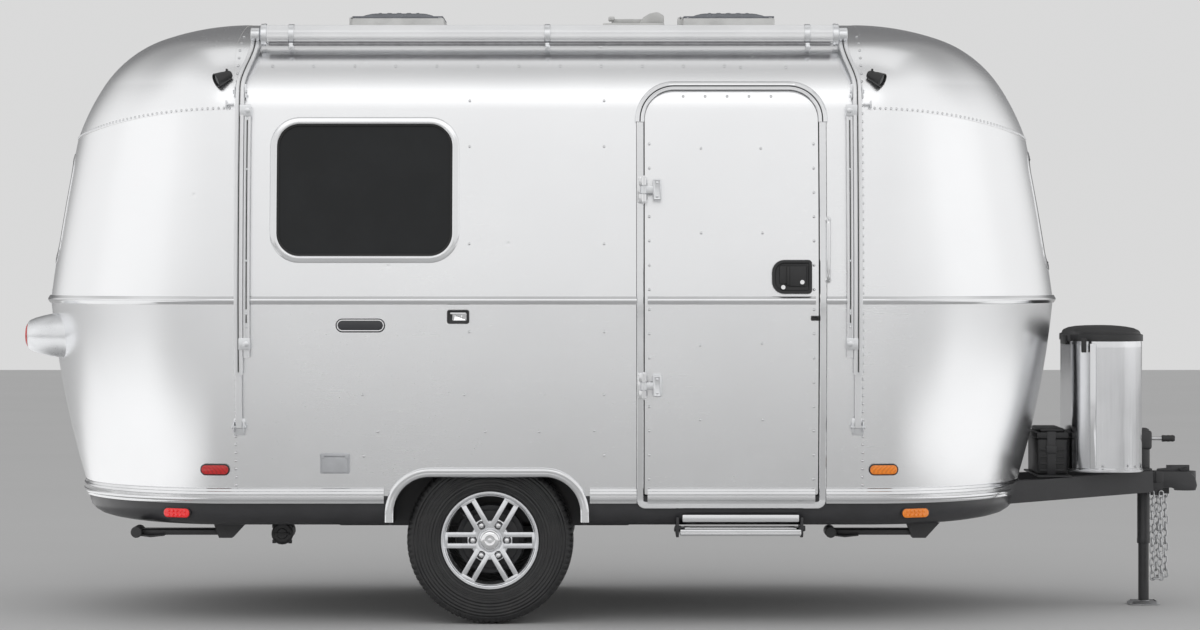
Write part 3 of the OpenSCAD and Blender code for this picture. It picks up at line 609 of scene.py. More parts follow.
    @staticmethod
    def sheet(
        name: str, across: int, along: int, place: Callable[[Array, Array], Array], inside: Point | None = None
    ) -> Obj:
        """A grid whose corners are moved onto a surface.

        Args:
            name: Object name.
            across: Squares along the first way.
            along: Squares along the second way.
            place: Gives points for two arrays that run from 0 to 1.
            inside: A point behind the sheet where it stays open.

        Returns:
            The object.
        """
        Bench.fresh()
        bpy.ops.mesh.primitive_grid_add(x_subdivisions=across, y_subdivisions=along, size=1)
        made = Bench.take(name)
        flat = np.zeros(len(made.data.vertices) * 3)
        made.data.vertices.foreach_get("co", flat)
        flat = flat.reshape(-1, 3)
        points = place(np.clip(flat[:, 0] + 0.5, 0, 1), np.clip(flat[:, 1] + 0.5, 0, 1))
        made.data.vertices.foreach_set("co", np.ascontiguousarray(points, float).ravel())
        made.data.update()
        return Bench.weld(made, inside)

    @staticmethod
    def thicken(obj: Obj, depth: float) -> Obj:
        """Gives a sheet its wall, inwards, with a solidify modifier that is applied."""
        Bench.hold(obj)
        wall = obj.modifiers.new("wall", "SOLIDIFY")
        wall.thickness, wall.offset, wall.use_even_offset = depth, -1, True
        bpy.ops.object.modifier_apply(modifier=wall.name)
        return obj

    @staticmethod
    def cut(obj: Obj, tool: Obj) -> Obj:
        """Cuts a tool out of an object and removes the tool."""
        Bench.hold(obj)
        saw = obj.modifiers.new("cut", "BOOLEAN")
        saw.operation, saw.object, saw.solver = "DIFFERENCE", tool, "EXACT"
        bpy.ops.object.modifier_apply(modifier=saw.name)
        bpy.data.objects.remove(tool)
        return obj

    @staticmethod
    def join(name: str, parts: Iterable[Obj]) -> Obj:
        """Joins objects into one."""
        parts = list(parts)
        Bench.fresh()
        for part in parts:
            part.select_set(True)
        bpy.context.view_layer.objects.active = parts[0]
        if len(parts) > 1:
            bpy.ops.object.join()
        parts[0].name = parts[0].data.name = name
        return parts[0]

    @staticmethod
    def twin(obj: Obj, move: Matrix, name: str) -> Obj:
        """A copy with its own mesh, moved by a matrix."""
        Bench.hold(obj)
        bpy.ops.object.duplicate()
        made = bpy.context.object
        made.name = made.data.name = name
        made.data.transform(move)
        if move.determinant() < 0:
            Bench.flip(made)
        return made

    @staticmethod
    def scatter(name: str, seed: Obj, places: Array, facing: Array) -> Obj:
        """Many copies of a small form in one mesh, each turned to face its own way.

        Args:
            name: Object name.
            seed: The form, standing on z = 0 and facing +z; it is used up.
            places: Points, n by 3.
            facing: Directions, n by 3.

        Returns:
            The object.
        """
        count = len(seed.data.vertices)
        base = np.zeros(count * 3)
        seed.data.vertices.foreach_get("co", base)
        base = base.reshape(-1, 3)
        faces = [list(f.vertices) for f in seed.data.polygons]
        points, made_faces = [], []
        for k, (spot, way) in enumerate(zip(places, facing)):
            turn = np.array(Vector(UP).rotation_difference(Vector(way)).to_matrix())
            points.append(base @ turn.T + spot)
            made_faces.extend([[i + k * count for i in f] for f in faces])
        mesh = bpy.data.meshes.new(name)
        mesh.from_pydata(np.concatenate(points).tolist(), [], made_faces)
        made = bpy.data.objects.new(name, mesh)
        bpy.context.scene.collection.objects.link(made)
        bpy.data.objects.remove(seed)
        return made

    @staticmethod
    def tube(name: str, points: Sequence[Point], radius: float, smooth: bool = True, sides: int = 4) -> Obj:
        """A bent rod: a curve with a round section, made into a mesh."""
        Bench.fresh()
        kind = "NURBS" if smooth and len(points) > 2 else "POLY"
        data = bpy.data.curves.new(name, "CURVE")
        data.dimensions, data.bevel_depth, data.bevel_resolution, data.use_fill_caps = "3D", radius, sides, True
        data.resolution_u = 6
        line = data.splines.new(kind)
        line.points.add(len(points) - 1)
        for spot, point in zip(line.points, points):
            spot.co = (*point, 1.0)
        if kind == "NURBS":
            line.use_endpoint_u, line.order_u = True, 3
        made = bpy.data.objects.new(name, data)
        bpy.context.scene.collection.objects.link(made)
        Bench.hold(made)
        bpy.ops.object.convert(target="MESH")
        return Bench.weld(bpy.context.object)


class Shop:
    """Keeps the finishes, and dresses pieces with them."""

    def __init__(self, frame: dict) -> None:
        """Keeps the loaded frame."""
        self.frame = frame
        self.made: dict[str, bpy.types.Material] = {}
        self.count = 0

    def finish(self, kind: "Finish") -> bpy.types.Material:
        """The material of a finish, made once."""
        if kind.name not in self.made:
            self.made[kind.name] = kind.value.build()
        return self.made[kind.name]

    def dress(
        self,
        obj: Obj,
        kind: "Finish",
        slot: str,
        body: str = ROOT,
        nodes: Sequence[str] = (),
        smooth: float = 35.0,
    ) -> Obj:
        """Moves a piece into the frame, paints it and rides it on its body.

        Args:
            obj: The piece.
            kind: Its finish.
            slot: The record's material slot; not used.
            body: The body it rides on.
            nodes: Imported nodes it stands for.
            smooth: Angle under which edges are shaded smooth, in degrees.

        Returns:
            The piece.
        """
        obj.data.transform(Matrix.Translation(ORIGIN))
        Bench.hold(obj)
        bpy.ops.object.shade_smooth_by_angle(angle=math.radians(smooth))
        obj.data.materials.clear()
        obj.data.materials.append(self.finish(kind))
        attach(obj, body)
        if nodes:
            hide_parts(*nodes)
        self.count += 1
        LOG.info("piece %s: %d faces, rides on %s", obj.name, len(obj.data.polygons), body)
        return obj

    def unite(self, name: str, parts: Iterable[Obj], kind: "Finish", slot: str, body: str = ROOT, **more: Any) -> Obj:
        """Joins parts into one piece and dresses it."""
        return self.dress(Bench.join(name, parts), kind, slot, body, **more)

    def line(self, obj: Obj, inward: Callable[[bpy.types.MeshPolygon], bool]) -> None:
        """Gives the faces that pass a test the lining finish."""
        obj.data.materials.append(self.finish(Finish.LINING))
        for face in obj.data.polygons:
            if inward(face):
                face.material_index = 1

    def repaint(self, node: str, kind: "Finish") -> None:
        """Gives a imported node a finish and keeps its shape."""
        obj = self.frame["nodes"][node]
        obj.data.materials.clear()
        obj.data.materials.append(self.finish(kind))
        LOG.info("node %s: %s", node, kind.name)


class Finish(Enum):
    """Finishes of the caravan."""

    SKIN = Metal(
        "skin_aluminium", (0.915, 0.92, 0.93), 0.27, (0.5, 0.5, 26.0), 0.000003, 0.02, 1.6, 0.0028, 1.5, 1.0, 0.06,
        0.10, 0.0011
    )
    RIVET = Metal("rivet_aluminium", (0.74, 0.745, 0.755), 0.20, (30, 30, 30), 0.00002, 0.05)
    MOULDING = Metal("moulding_bright", (0.80, 0.805, 0.815), 0.14, (0.4, 12, 12), 0.00002, 0.05, 2.0)
    CASTING = Metal("hinge_casting", (0.80, 0.81, 0.825), 0.30, (25, 25, 25), 0.00005, 0.08, 14.0)
    ARM = Metal(
        "awning_arm_coat", (0.78, 0.785, 0.795), 0.32, (20, 20, 0.6), 0.00001, 0.04, 5.0, metallic=0.5, uneven=0.3
    )
    ROLL = Metal("awning_roll_cover", (0.85, 0.855, 0.865), 0.42, (0.3, 26, 26), 0.00005, 0.05, 3.0, metallic=0.55)
    STEEL = Metal("zinc_steel", (0.56, 0.565, 0.575), 0.36, (30, 30, 30), 0.00006, 0.14, 22.0)
    # Dark steel of the awning's pull bar, kept this dark also to paint the shadow line under the roll.
    PULL_BAR_STEEL_AND_SHADE = Metal("dark_steel_and_painted_shade", (0.30, 0.30, 0.31), 0.42, (30, 30, 30), 0.00006, 0.2, 30.0)
    CHROME = Metal("chrome", (0.90, 0.90, 0.91), 0.06, (20, 20, 20), 0.00001, 0.03, 10.0)
    ALLOY = Metal("wheel_alloy", (0.80, 0.81, 0.83), 0.22, (60, 60, 60), 0.00003, 0.06, 12.0, metallic=0.9)
    COVER = Metal("gas_cover_polished", (0.78, 0.785, 0.80), 0.15, (14, 14, 0.5), 0.00002, 0.06, 2.5, 0.0015, 3.0)
    FRAME = Plastic("frame_paint", (0.030, 0.030, 0.032), 0.46, 500.0, 0.0001, 0.10, 0.1)
    PAN = Plastic("pan_charcoal", (0.034, 0.034, 0.037), 0.42, 420.0, 0.0001, 0.10, 0.15)
    BLACK = Plastic("black_moulding", (0.020, 0.020, 0.021), 0.44, 800.0, 0.00008, 0.10)
    # Black rubber of the window and door seals. The same black also paints shade lines along the door frame, in the
    # drip groove and in the awning arms' grooves.
    RUBBER_AND_SHADE = Plastic("black_rubber_and_painted_shade", (0.012, 0.012, 0.012), 0.6, 600.0, 0.00004, 0.05)
    WHITE = Plastic("white_moulding", (0.56, 0.56, 0.55), 0.40, 700.0, 0.00006, 0.05)
    SMOKE = Plastic("smoked_lid", (0.15, 0.16, 0.18), 0.26, 500.0, 0.00004, 0.05, 0.3)
    HATCH = Plastic("hatch_grey", (0.50, 0.51, 0.53), 0.38, 600.0, 0.00005, 0.05)
    PLATE = Plastic("plate_enamel", (0.024, 0.025, 0.030), 0.22, 300.0, 0.00002, 0.04, 0.5)
    # Every lens shines with painted light of its own colour; the brighter skirt red shines more.
    RED = Lens("red_lens", (0.50, 0.010, 0.010))
    RED_BRIGHT = Lens("red_lens_bright", (0.86, 0.014, 0.016), painted_shine=0.22)
    AMBER = Lens("amber_lens", (0.98, 0.23, 0.010))
    GLASS = Glass("window_tint")
    TYRE = Rubber("tyre_rubber")
    FLOOR = Board("floor_board", (0.36, 0.25, 0.16), (0.27, 0.18, 0.11))
    LINING = Board("wall_lining", (0.62, 0.61, 0.58), (0.56, 0.55, 0.52), 2.0)


# Body form


def nth(share: Array, count: int) -> Array:
    """Whole steps for shares of a count."""
    return np.rint(share * count).astype(int)


def unit(ways: Array) -> Array:
    """Directions of length 1."""
    return ways / np.linalg.norm(ways, axis=1)[:, None]


def spool(*half: Pair) -> list[Pair]:
    """A turned profile that is the same above and below its middle, from its upper half."""
    return [(r, -h) for r, h in half] + [(r, h) for r, h in reversed(half)]


def screw(r: float, crown: float) -> list[Pair]:
    """Turned profile of a low screw head."""
    return [(r, 0), (r, 0.002), (crown, 0.0035), (0, 0.004)]


def channelled(*half: Pair) -> list[Pair]:
    """A section that is the same on both sides of its middle, from one half."""
    return [(-a, b) for a, b in half] + [(a, b) for a, b in reversed(half)]


@dataclass(frozen=True)
class BodyForm:
    """The body's surface: two section lines, and ends swept between them."""

    spine: float = 1.320
    belt_b: float = 1.118
    belt_a: float = 0.890
    sill_z: float = 0.540
    belt_z: float = 1.355
    roof_z: float = 2.560
    seam_side: float = 2.150
    seam_end: float = 2.040
    tuck_side: float = 0.058
    tuck_end: float = 0.165
    lean_side: float = 0.066
    lean_end: float = 0.118
    wall: float = 0.045
    steps: tuple[int, ...] = (5, 5, 3, 5, 4)
    fine: int = 8

    @staticmethod
    def _bow(p: Array, q: Array, sag: float, n: int) -> Array:
        """Points after p on a bowed line to q."""
        t = np.arange(1, n + 1)[:, None] / n
        d = q - p
        out = np.array([d[1], -d[0]]) / np.hypot(*d)
        return p + d * t + out * 4 * sag * t * (1 - t)

    def _dome(self, b: float, z0: float, angles: tuple[float, float, float], r1: float) -> Array:
        """Points from the seam to the crown, on three arcs."""
        f0, f1, fj = (math.radians(a) for a in angles)
        h = self.roof_z - z0
        b1 = b + r1 * (math.cos(f1) - math.cos(f0))
        h1 = h - r1 * (math.sin(f1) - math.sin(f0))
        m = np.array([[math.cos(f1) - math.cos(fj), math.cos(fj)], [math.sin(fj) - math.sin(f1), 1 - math.sin(fj)]])
        r2, r3 = np.linalg.solve(m, [b1, h1])
        z1 = z0 + r1 * (math.sin(f1) - math.sin(f0))
        arcs = []
        for lo, hi, n, x, z, r, g in (
            (f0, f1, 2, b, z0, r1, f0),
            (f1, fj, 3, b1, z1, r2, f1),
            (fj, math.pi / 2, 4, 0.0, self.roof_z, r3, math.pi / 2),
        ):
            count = self.steps[n] * self.fine
            f = lo + (hi - lo) * np.arange(1, count + 1) / count
            arcs.append(np.stack([x + r * (np.cos(f) - math.cos(g)), z + r * (np.sin(f) - math.sin(g))], 1))
        return np.concatenate(arcs)

    def line(self, end: bool) -> Array:
        """Section line from the sill to the crown, as reach and height.

        Args:
            end: True for the ends' line, False for the sides'.

        Returns:
            Points, n by 2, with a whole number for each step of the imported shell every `fine` rows.
        """
        if end:
            reach, tuck, lean, seam = self.belt_a, self.tuck_end, self.lean_end, self.seam_end
            sags, arcs = (0.022, 0.006), ((18.0, 33.0, 70.0), 1.020)
        else:
            reach, tuck, lean, seam = self.belt_b, self.tuck_side, self.lean_side, self.seam_side
            sags, arcs = (0.009, 0.012), ((8.2, 25.0, 74.0), 0.400)
        knots = (reach - tuck, self.sill_z), (reach, self.belt_z), (reach - lean, seam)
        foot, belt, top = (np.array(knot) for knot in knots)
        return np.concatenate(
            [
                foot[None],
                self._bow(foot, belt, sags[0], self.steps[0] * self.fine),
                self._bow(belt, top, sags[1], self.steps[1] * self.fine),
                self._dome(reach - lean, seam, *arcs),
            ]
        )

    def at(self, u: Array, end: bool, off: float = 0.0) -> Array:
        """Section points at step u, from 0 at the sill to 22 at the crown, moved out by off.

        Args:
            u: Steps along the line.
            end: Which line.
            off: Distance outwards.

        Returns:
            Points, n by 2.
        """
        line = self.line(end)
        k = np.arange(len(line)) / self.fine
        point = np.stack([np.interp(u, k, line[:, i]) for i in (0, 1)], -1)
        d = unit(np.gradient(line, axis=0))
        way = np.stack([np.interp(u, k, d[:, 1]), np.interp(u, k, -d[:, 0])], -1)
        return point + way * off

    def side(self, x: Array, u: Array, side: Side, off: float = 0.0) -> Array:
        """Points on a side wall or the roof."""
        s = self.at(u, False, off)
        return np.stack([np.broadcast_to(x, s[..., 0].shape), side.value * s[..., 0], s[..., 1]], -1)

    def end(self, u: Array, t: Array, which: End, off: float = 0.0) -> Array:
        """Points on a rounded end, at step u and turn t from -90 to 90 degrees in radians."""
        e, s = self.at(u, True, off), self.at(u, False, off)
        x = self.spine + e[..., 0] * np.cos(t)
        z = e[..., 1] * np.cos(t) ** 2 + s[..., 1] * np.sin(t) ** 2
        return np.stack([which.value * x, s[..., 0] * np.sin(t), z], -1)

    def side_u(self, z: Array) -> Array:
        """Step of the side line at a height."""
        line = self.line(False)
        return np.interp(z, line[:, 1], np.arange(len(line)) / self.fine)

    def side_reach(self, z: Array) -> Array:
        """Reach of the side wall at a height."""
        line = self.line(False)
        return np.interp(z, line[:, 1], line[:, 0])

    def wall_y(self, z: float) -> float:
        """Place of the curb side wall at a height."""
        return -float(self.side_reach(z))

    def end_reach(self, y: Array, z: Array) -> Array:
        """Reach of a rounded end beyond the middle, over a point of its face."""
        e, s = self.line(True), self.line(False)
        k = np.arange(len(e)) / self.fine
        t = np.arcsin(np.clip(np.asarray(y) / self.belt_b, -0.999, 0.999))
        for _ in range(6):
            mixed = e[None, :, 1] * (np.cos(t) ** 2)[:, None] + s[None, :, 1] * (np.sin(t) ** 2)[:, None]
            u = np.array([np.interp(zz, row, k) for zz, row in zip(z, mixed)])
            t = np.arcsin(np.clip(y / np.interp(u, k, s[:, 0]), -0.999, 0.999))
        return self.spine + np.interp(u, k, e[:, 0]) * np.cos(t)


BODY = BodyForm()


def corners(w: float, h: float, radii: Sequence[float], at: Pair = (0, 0), n: int = 8) -> list[Pair]:
    """Outline of a rectangle with its own radius at each corner, from the upper right anticlockwise."""
    out = []
    for (cx, cy, f0), r in zip(((1, 1, 0), (-1, 1, 90), (-1, -1, 180), (1, -1, 270)), radii):
        for k in range(n + 1):
            f = math.radians(f0 + 90 * k / n)
            out.append((at[0] + cx * (w / 2 - r) + r * math.cos(f), at[1] + cy * (h / 2 - r) + r * math.sin(f)))
    return out


def rounded(w: float, h: float, top: float, bottom: float, n: int = 10, at: Pair = (0, 0)) -> list[Pair]:
    """Outline of a rectangle with round corners, anticlockwise from the right.

    Args:
        w: Width.
        h: Height.
        top: Radius of the upper corners.
        bottom: Radius of the lower corners.
        n: Steps in each corner.
        at: Middle.

    Returns:
        The outline's points.
    """
    return corners(w, h, (top, top, bottom, bottom), at, n)


def onto_side(obj: Obj, side: Side) -> Obj:
    """Lays a fitting drawn at y = 0, with its front towards -y, on a side wall."""
    for vertex in obj.data.vertices:
        vertex.co.y -= float(BODY.side_reach(vertex.co.z))
    return obj if side is Side.CURB else across(obj)


def across(obj: Obj) -> Obj:
    """Mirrors a piece to the other side of the caravan."""
    obj.data.transform(Matrix.Scale(-1, 4, ACROSS))
    Bench.flip(obj)
    return obj


def onto_end(obj: Obj, which: End) -> Obj:
    """Lays a fitting drawn at x = 0, with its front towards +x, on a rounded end."""
    flat = np.array([v.co for v in obj.data.vertices])
    flat[:, 0] += BODY.end_reach(flat[:, 1], flat[:, 2])
    obj.data.vertices.foreach_set("co", flat.ravel())
    obj.data.update()
    if which is End.REAR:
        obj.data.transform(Matrix.Scale(-1, 4, ALONG))
        Bench.flip(obj)
    return obj


def moulded(name: str, loop: Loop, section: Loop, closed: bool = True) -> Obj:
    """A strip swept along a flat outline, drawn in x and z with its front towards -y.

    Args:
        name: Object name.
        loop: The outline, anticlockwise.
        section: Pairs of distance outwards from the outline and height off the wall.
        closed: True where the outline comes back to its start.

    Returns:
        The object.
    """
    path = np.array(loop)
    if closed:
        path = np.concatenate([path, path[:1]])
    keep = np.concatenate([[True], np.linalg.norm(np.diff(path, axis=0), axis=1) > 1e-7])
    path = path[keep]
    d = np.roll(path, -1, 0) - np.roll(path, 1, 0)
    if closed:
        d[0] = d[-1] = path[1] - path[-2]
    else:
        d[0], d[-1] = path[1] - path[0], path[-1] - path[-2]
    d = unit(d)
    out = np.stack([d[:, 1], -d[:, 0]], 1)
    cut = np.array(list(section) + [section[0]])
    k, m = len(path) - 1, len(cut) - 1

    def place(u: Array, v: Array) -> Array:
        i, j = nth(u, k), nth(v, m)
        flat = path[i] + out[i] * cut[j, 0][:, None]
        return np.stack([flat[:, 0], -cut[j, 1], flat[:, 1]], 1)

    made = Bench.sheet(name, k, m, place)
    return made if closed else Bench.close_ends(made)


def panel(
    name: str, w: float, h: float, top: float, bottom: float, at: Pair, off: float, cols: int = 24, rows: int = 30
) -> Obj:
    """An upright panel with round corners, drawn in x and z at y = -off.

    Args:
        name: Object name.
        w: Width.
        h: Height.
        top: Radius of the upper corners.
        bottom: Radius of the lower corners.
        at: Middle, x and z.
        off: Distance off the wall.
        cols: Squares across.
        rows: Squares up the straight part.

    Returns:
        The panel, an open sheet.
    """
    turn = np.radians(np.linspace(0, 90, 13))
    low = [(-h / 2 + bottom * (1 - math.sin(f)), w / 2 - bottom * (1 - math.cos(f))) for f in turn[::-1]]
    high = [(h / 2 - top * (1 - math.sin(f)), w / 2 - top * (1 - math.cos(f))) for f in turn]
    mid = [(z, w / 2) for z in np.linspace(low[-1][0], high[0][0], rows + 1)[1:-1]]
    ladder = np.array(low + mid + high)
    k = len(ladder) - 1

    def place(u: Array, v: Array) -> Array:
        step = ladder[nth(v, k)]
        return np.stack([at[0] + (2 * u - 1) * step[:, 1], np.full(len(u), -off), at[1] + step[:, 0]], 1)

    return Bench.sheet(name, cols, k, place, (at[0], 10.0, at[1]))


@dataclass
class Shell:
    """Riveted aluminium body: two sides, roof, end wraps and domes."""

    shop: Shop
    door: Four = (DOOR_X, DOOR_W, DOOR_LOW, DOOR_TOP)
    door_corner: float = DOOR_CORNER
    window: Five = (-0.768, 1.815, 0.740, 0.560, 0.100)
    road_window: Five = (0.420, 1.800, 0.560, 0.420, 0.090)
    arch: Four = ARCH
    arch_corner: float = ARCH_CORNER
    front_window: Five = (0.0, 1.740, 0.660, 0.470, 0.090)
    rear_window: Five = (0.0, 1.750, 0.640, 0.430, 0.090)
    vents: Pair = VENT_XS
    seam_step: float = 10.0
    roof_step: float = 15.0
    top_step: float = 22.0
    lap: float = 0.0012
    vent_half: float = 0.16
    side_cut: Pair = (0.5, 1.4)
    end_cut: Pair = (1.4, 2.6)

    def build(self) -> None:
        """Makes every skin."""
        for side in Side:
            self.side(side)
        self.roof()
        for which in End:
            self.wrap(which)
            self.dome(which)

    def line_inside(self, obj: Obj, centre: Callable[[Vector], Vector]) -> None:
        """Gives the faces that look inwards the lining finish."""
        self.shop.line(obj, lambda face: face.normal.dot(face.center - centre(face.center)) < -0.2)

    @staticmethod
    def cutter(w: float, h: float, top: float, bottom: float, at: Pair, facing: str, reach: Sequence[float]) -> Obj:
        """A tool that cuts a rounded opening through a wall."""
        loop = rounded(w, h, top, bottom, 12, at)
        spot = (reach[0], 0, 0) if facing == "X" else (0, reach[0], 0)
        return Bench.plate("cutter", loop, reach[1] - reach[0], spot, facing)

    def side(self, side: Side) -> None:
        """One side wall with its openings."""
        name = side.name.lower()

        def place(u: Array, v: Array) -> Array:
            return BODY.side((2 * u - 1) * BODY.spine, v * self.roof_step, side)

        skin = Bench.sheet(f"side_skin_{name}", 110, 105, place, (0, 0, 1.4))
        Bench.thicken(skin, BODY.wall)
        reach = sorted(side.value * y for y in self.side_cut)
        x, z, w, h, r = self.window
        Bench.cut(skin, self.cutter(w, h, r, r, (x, z), "Y", reach))
        x, z, w, h = self.arch
        Bench.cut(skin, self.cutter(w, h, self.arch_corner, 0.008, (x, z), "Y", reach))
        if side is Side.CURB:
            x, w, z0, z1 = self.door
            Bench.cut(skin, self.cutter(w, z1 - z0, self.door_corner, 0.008, (x + w / 2, (z0 + z1) / 2), "Y", reach))
        else:
            x, z, w, h, r = self.road_window
            Bench.cut(skin, self.cutter(w, h, r, r, (x, z), "Y", reach))
        self.shop.dress(skin, Finish.SKIN, "skin", nodes=[f"side_wall_{name}"], smooth=28)
        self.line_inside(skin, lambda c: Vector((c.x, 0, min(c.z, 1.6))))

    def roof(self) -> None:
        """The roof between the two ends, with its vent openings."""
        span = self.top_step - self.roof_step

        def place(u: Array, v: Array) -> Array:
            a = 2 * v - 1
            s = BODY.at(self.top_step - np.abs(a) * span, False)
            return np.stack([(2 * u - 1) * BODY.spine, np.sign(a) * s[:, 0], s[:, 1]], 1)

        skin = Bench.sheet("roof_skin", 110, 96, place, (0, 0, 0.5))
        Bench.thicken(skin, BODY.wall)
        for x in self.vents:
            h = self.vent_half
            Bench.cut(skin, Bench.block("cutter", (x - h, -h, 2.3), (x + h, h, 2.7), 0))
        self.shop.dress(skin, Finish.SKIN, "skin", nodes=["roof_panel"], smooth=28)
        self.line_inside(skin, lambda c: Vector((c.x, c.y * 0.6, 1.2)))

    def wrap(self, which: End) -> None:
        """The lower part of an end, up to the dome seam, with its window."""
        name = which.name.lower()

        def place(u: Array, v: Array) -> Array:
            return BODY.end(v * self.seam_step, (u - 0.5) * math.pi, which)

        skin = Bench.sheet(f"{name}_wrap_skin", 120, 70, place, (which.value * BODY.spine, 0, 1.3))
        Bench.thicken(skin, BODY.wall)
        y, z, w, h, r = self.front_window if which is End.FRONT else self.rear_window
        reach = sorted(which.value * x for x in self.end_cut)
        Bench.cut(skin, self.cutter(w, h, r, r, (y, z), "X", reach))
        self.shop.dress(skin, Finish.SKIN, "skin", nodes=[f"{name}_wrap"], smooth=28)
        self.line_inside(skin, lambda c: Vector((which.value * 0.9, c.y * 0.2, c.z)))

    def dome(self, which: End) -> None:
        """The dome over an end, lapped over its seam."""
        name = which.name.lower()

        def place(u: Array, v: Array) -> Array:
            step = self.seam_step + v * (self.top_step - self.seam_step)
            return BODY.end(step, (u - 0.5) * math.pi, which, self.lap)

        skin = Bench.sheet(f"{name}_dome_skin", 120, 84, place, (which.value * BODY.spine, 0, 1.3))
        Bench.thicken(skin, BODY.wall)
        self.shop.dress(skin, Finish.SKIN, "skin", nodes=[f"{name}_dome"], smooth=28)
        self.line_inside(skin, lambda c: Vector((which.value * 0.9, c.y * 0.2, 1.3)))


@dataclass
class Rivets:
    """Rows of rivets along seams and over frames."""

    shop: Shop
    radius: float = 0.0062
    height: float = 0.0034
    seam_pitch: float = 0.034
    frame_pitch: float = 0.052
    loose: Pairs = (
        (0.228, 2.187), (0.228, 1.996), (0.228, 1.590), (0.228, 1.224), (0.228, 0.963), (0.228, 0.710),
        (-0.776, 0.963), (-0.772, 0.706), (-0.714, 0.809), (-0.353, 0.963), (-0.266, 0.809), (-0.042, 0.809),
        (0.187, 0.813),
        (-0.332, 2.187), (-0.332, 1.996), (-0.332, 1.590), (-0.332, 1.224), (0.800, 2.330), (0.990, 2.330),
    )
    door_loose: Pairs = (
        (0.631, 1.988), (0.880, 1.988), (0.631, 1.635), (0.886, 1.635),
        (0.627, 1.168), (0.884, 1.176), (0.627, 0.858), (0.888, 0.858),
    )
    spots: list[tuple[Array, Array]] = field(default_factory=list)

    def seed(self) -> Obj:
        """One rivet: a ball cut in half, flattened and given a foot."""
        Bench.fresh()
        bpy.ops.mesh.primitive_uv_sphere_add(segments=8, ring_count=6, radius=self.radius)
        made = Bench.take("rivet")
        Bench.edit(made)
        bpy.ops.mesh.bisect(plane_co=HERE, plane_no=UP, clear_inner=True)
        bpy.ops.mesh.select_all(action="SELECT")
        bpy.ops.transform.resize(value=(1, 1, self.height / self.radius))
        Bench.done()
        return made

    def on_side(self, x: Array, z: Array, side: Side) -> None:
        """Adds rivets on a side wall at given places."""
        u = BODY.side_u(z)
        here = BODY.side(np.asarray(x, float), u, side)
        out = BODY.side(np.asarray(x, float), u, side, 0.01) - here
        self.spots.append((here, unit(out)))

    def on_end(self, u: Array, t: Array, which: End) -> None:
        """Adds rivets on a rounded end at given steps and turns."""
        here = BODY.end(u, t, which)
        out = BODY.end(u, t, which, 0.01) - here
        self.spots.append((here, unit(out)))

    def column(self, x: float, low: float, high: float, pitch: float, side: Side) -> None:
        """Adds an upright row on a side wall."""
        z = np.arange(low, high, pitch)
        self.on_side(np.full(len(z), x), z, side)

    def row(self, z: float, low: float, high: float, pitch: float, side: Side) -> None:
        """Adds a level row on a side wall."""
        x = np.arange(low, high, pitch)
        self.on_side(x, np.full(len(x), z), side)

    def drive(self, name: str, body: str = ROOT) -> None:
        """Makes one piece of all the rivets added so far."""
        places = np.concatenate([s[0] for s in self.spots])
        facing = np.concatenate([s[1] for s in self.spots])
        self.spots = []
        self.shop.dress(Bench.scatter(name, self.seed(), places, facing), Finish.RIVET, "skin", body, smooth=60)

    def build(self) -> None:
        """Makes the rivets of the shell and of the door."""
        for side in Side:
            for x in (-BODY.spine + 0.016, BODY.spine - 0.016):
                self.column(x, 0.585, 1.33, self.seam_pitch, side)
                self.column(x, 1.385, 2.50, self.seam_pitch, side)
            xs, zs = (np.array(v) for v in zip(*self.loose))
            self.on_side(xs, zs, side)
            self.row(2.335, -1.16, 0.75, 0.172, side)
            self.row(2.452, -1.22, 1.24, 0.085, side)
        for x in (DOOR_X - 0.022, DOOR_X + DOOR_W + 0.017):
            self.column(x, 0.60, 2.05, self.frame_pitch, Side.CURB)
        self.drive("shell_rivets")
        for which in End:
            t = np.radians(np.linspace(-89, 89, 104))
            self.on_end(np.full(len(t), 10.16), t, which)
        self.drive("end_rivets")
        for x in (DOOR_X + 0.024, DOOR_X + DOOR_W - 0.024):
            self.column(x, 0.610, 1.325, 0.101, Side.CURB)
            self.column(x, 1.400, 2.06, 0.101, Side.CURB)
        self.row(2.206, DOOR_X + 0.166, DOOR_X + DOOR_W - 0.16, 0.0915, Side.CURB)
        xs, zs = (np.array(v) for v in zip(*self.door_loose))
        self.on_side(xs, zs, Side.CURB)
        self.drive("door_rivets", "door")


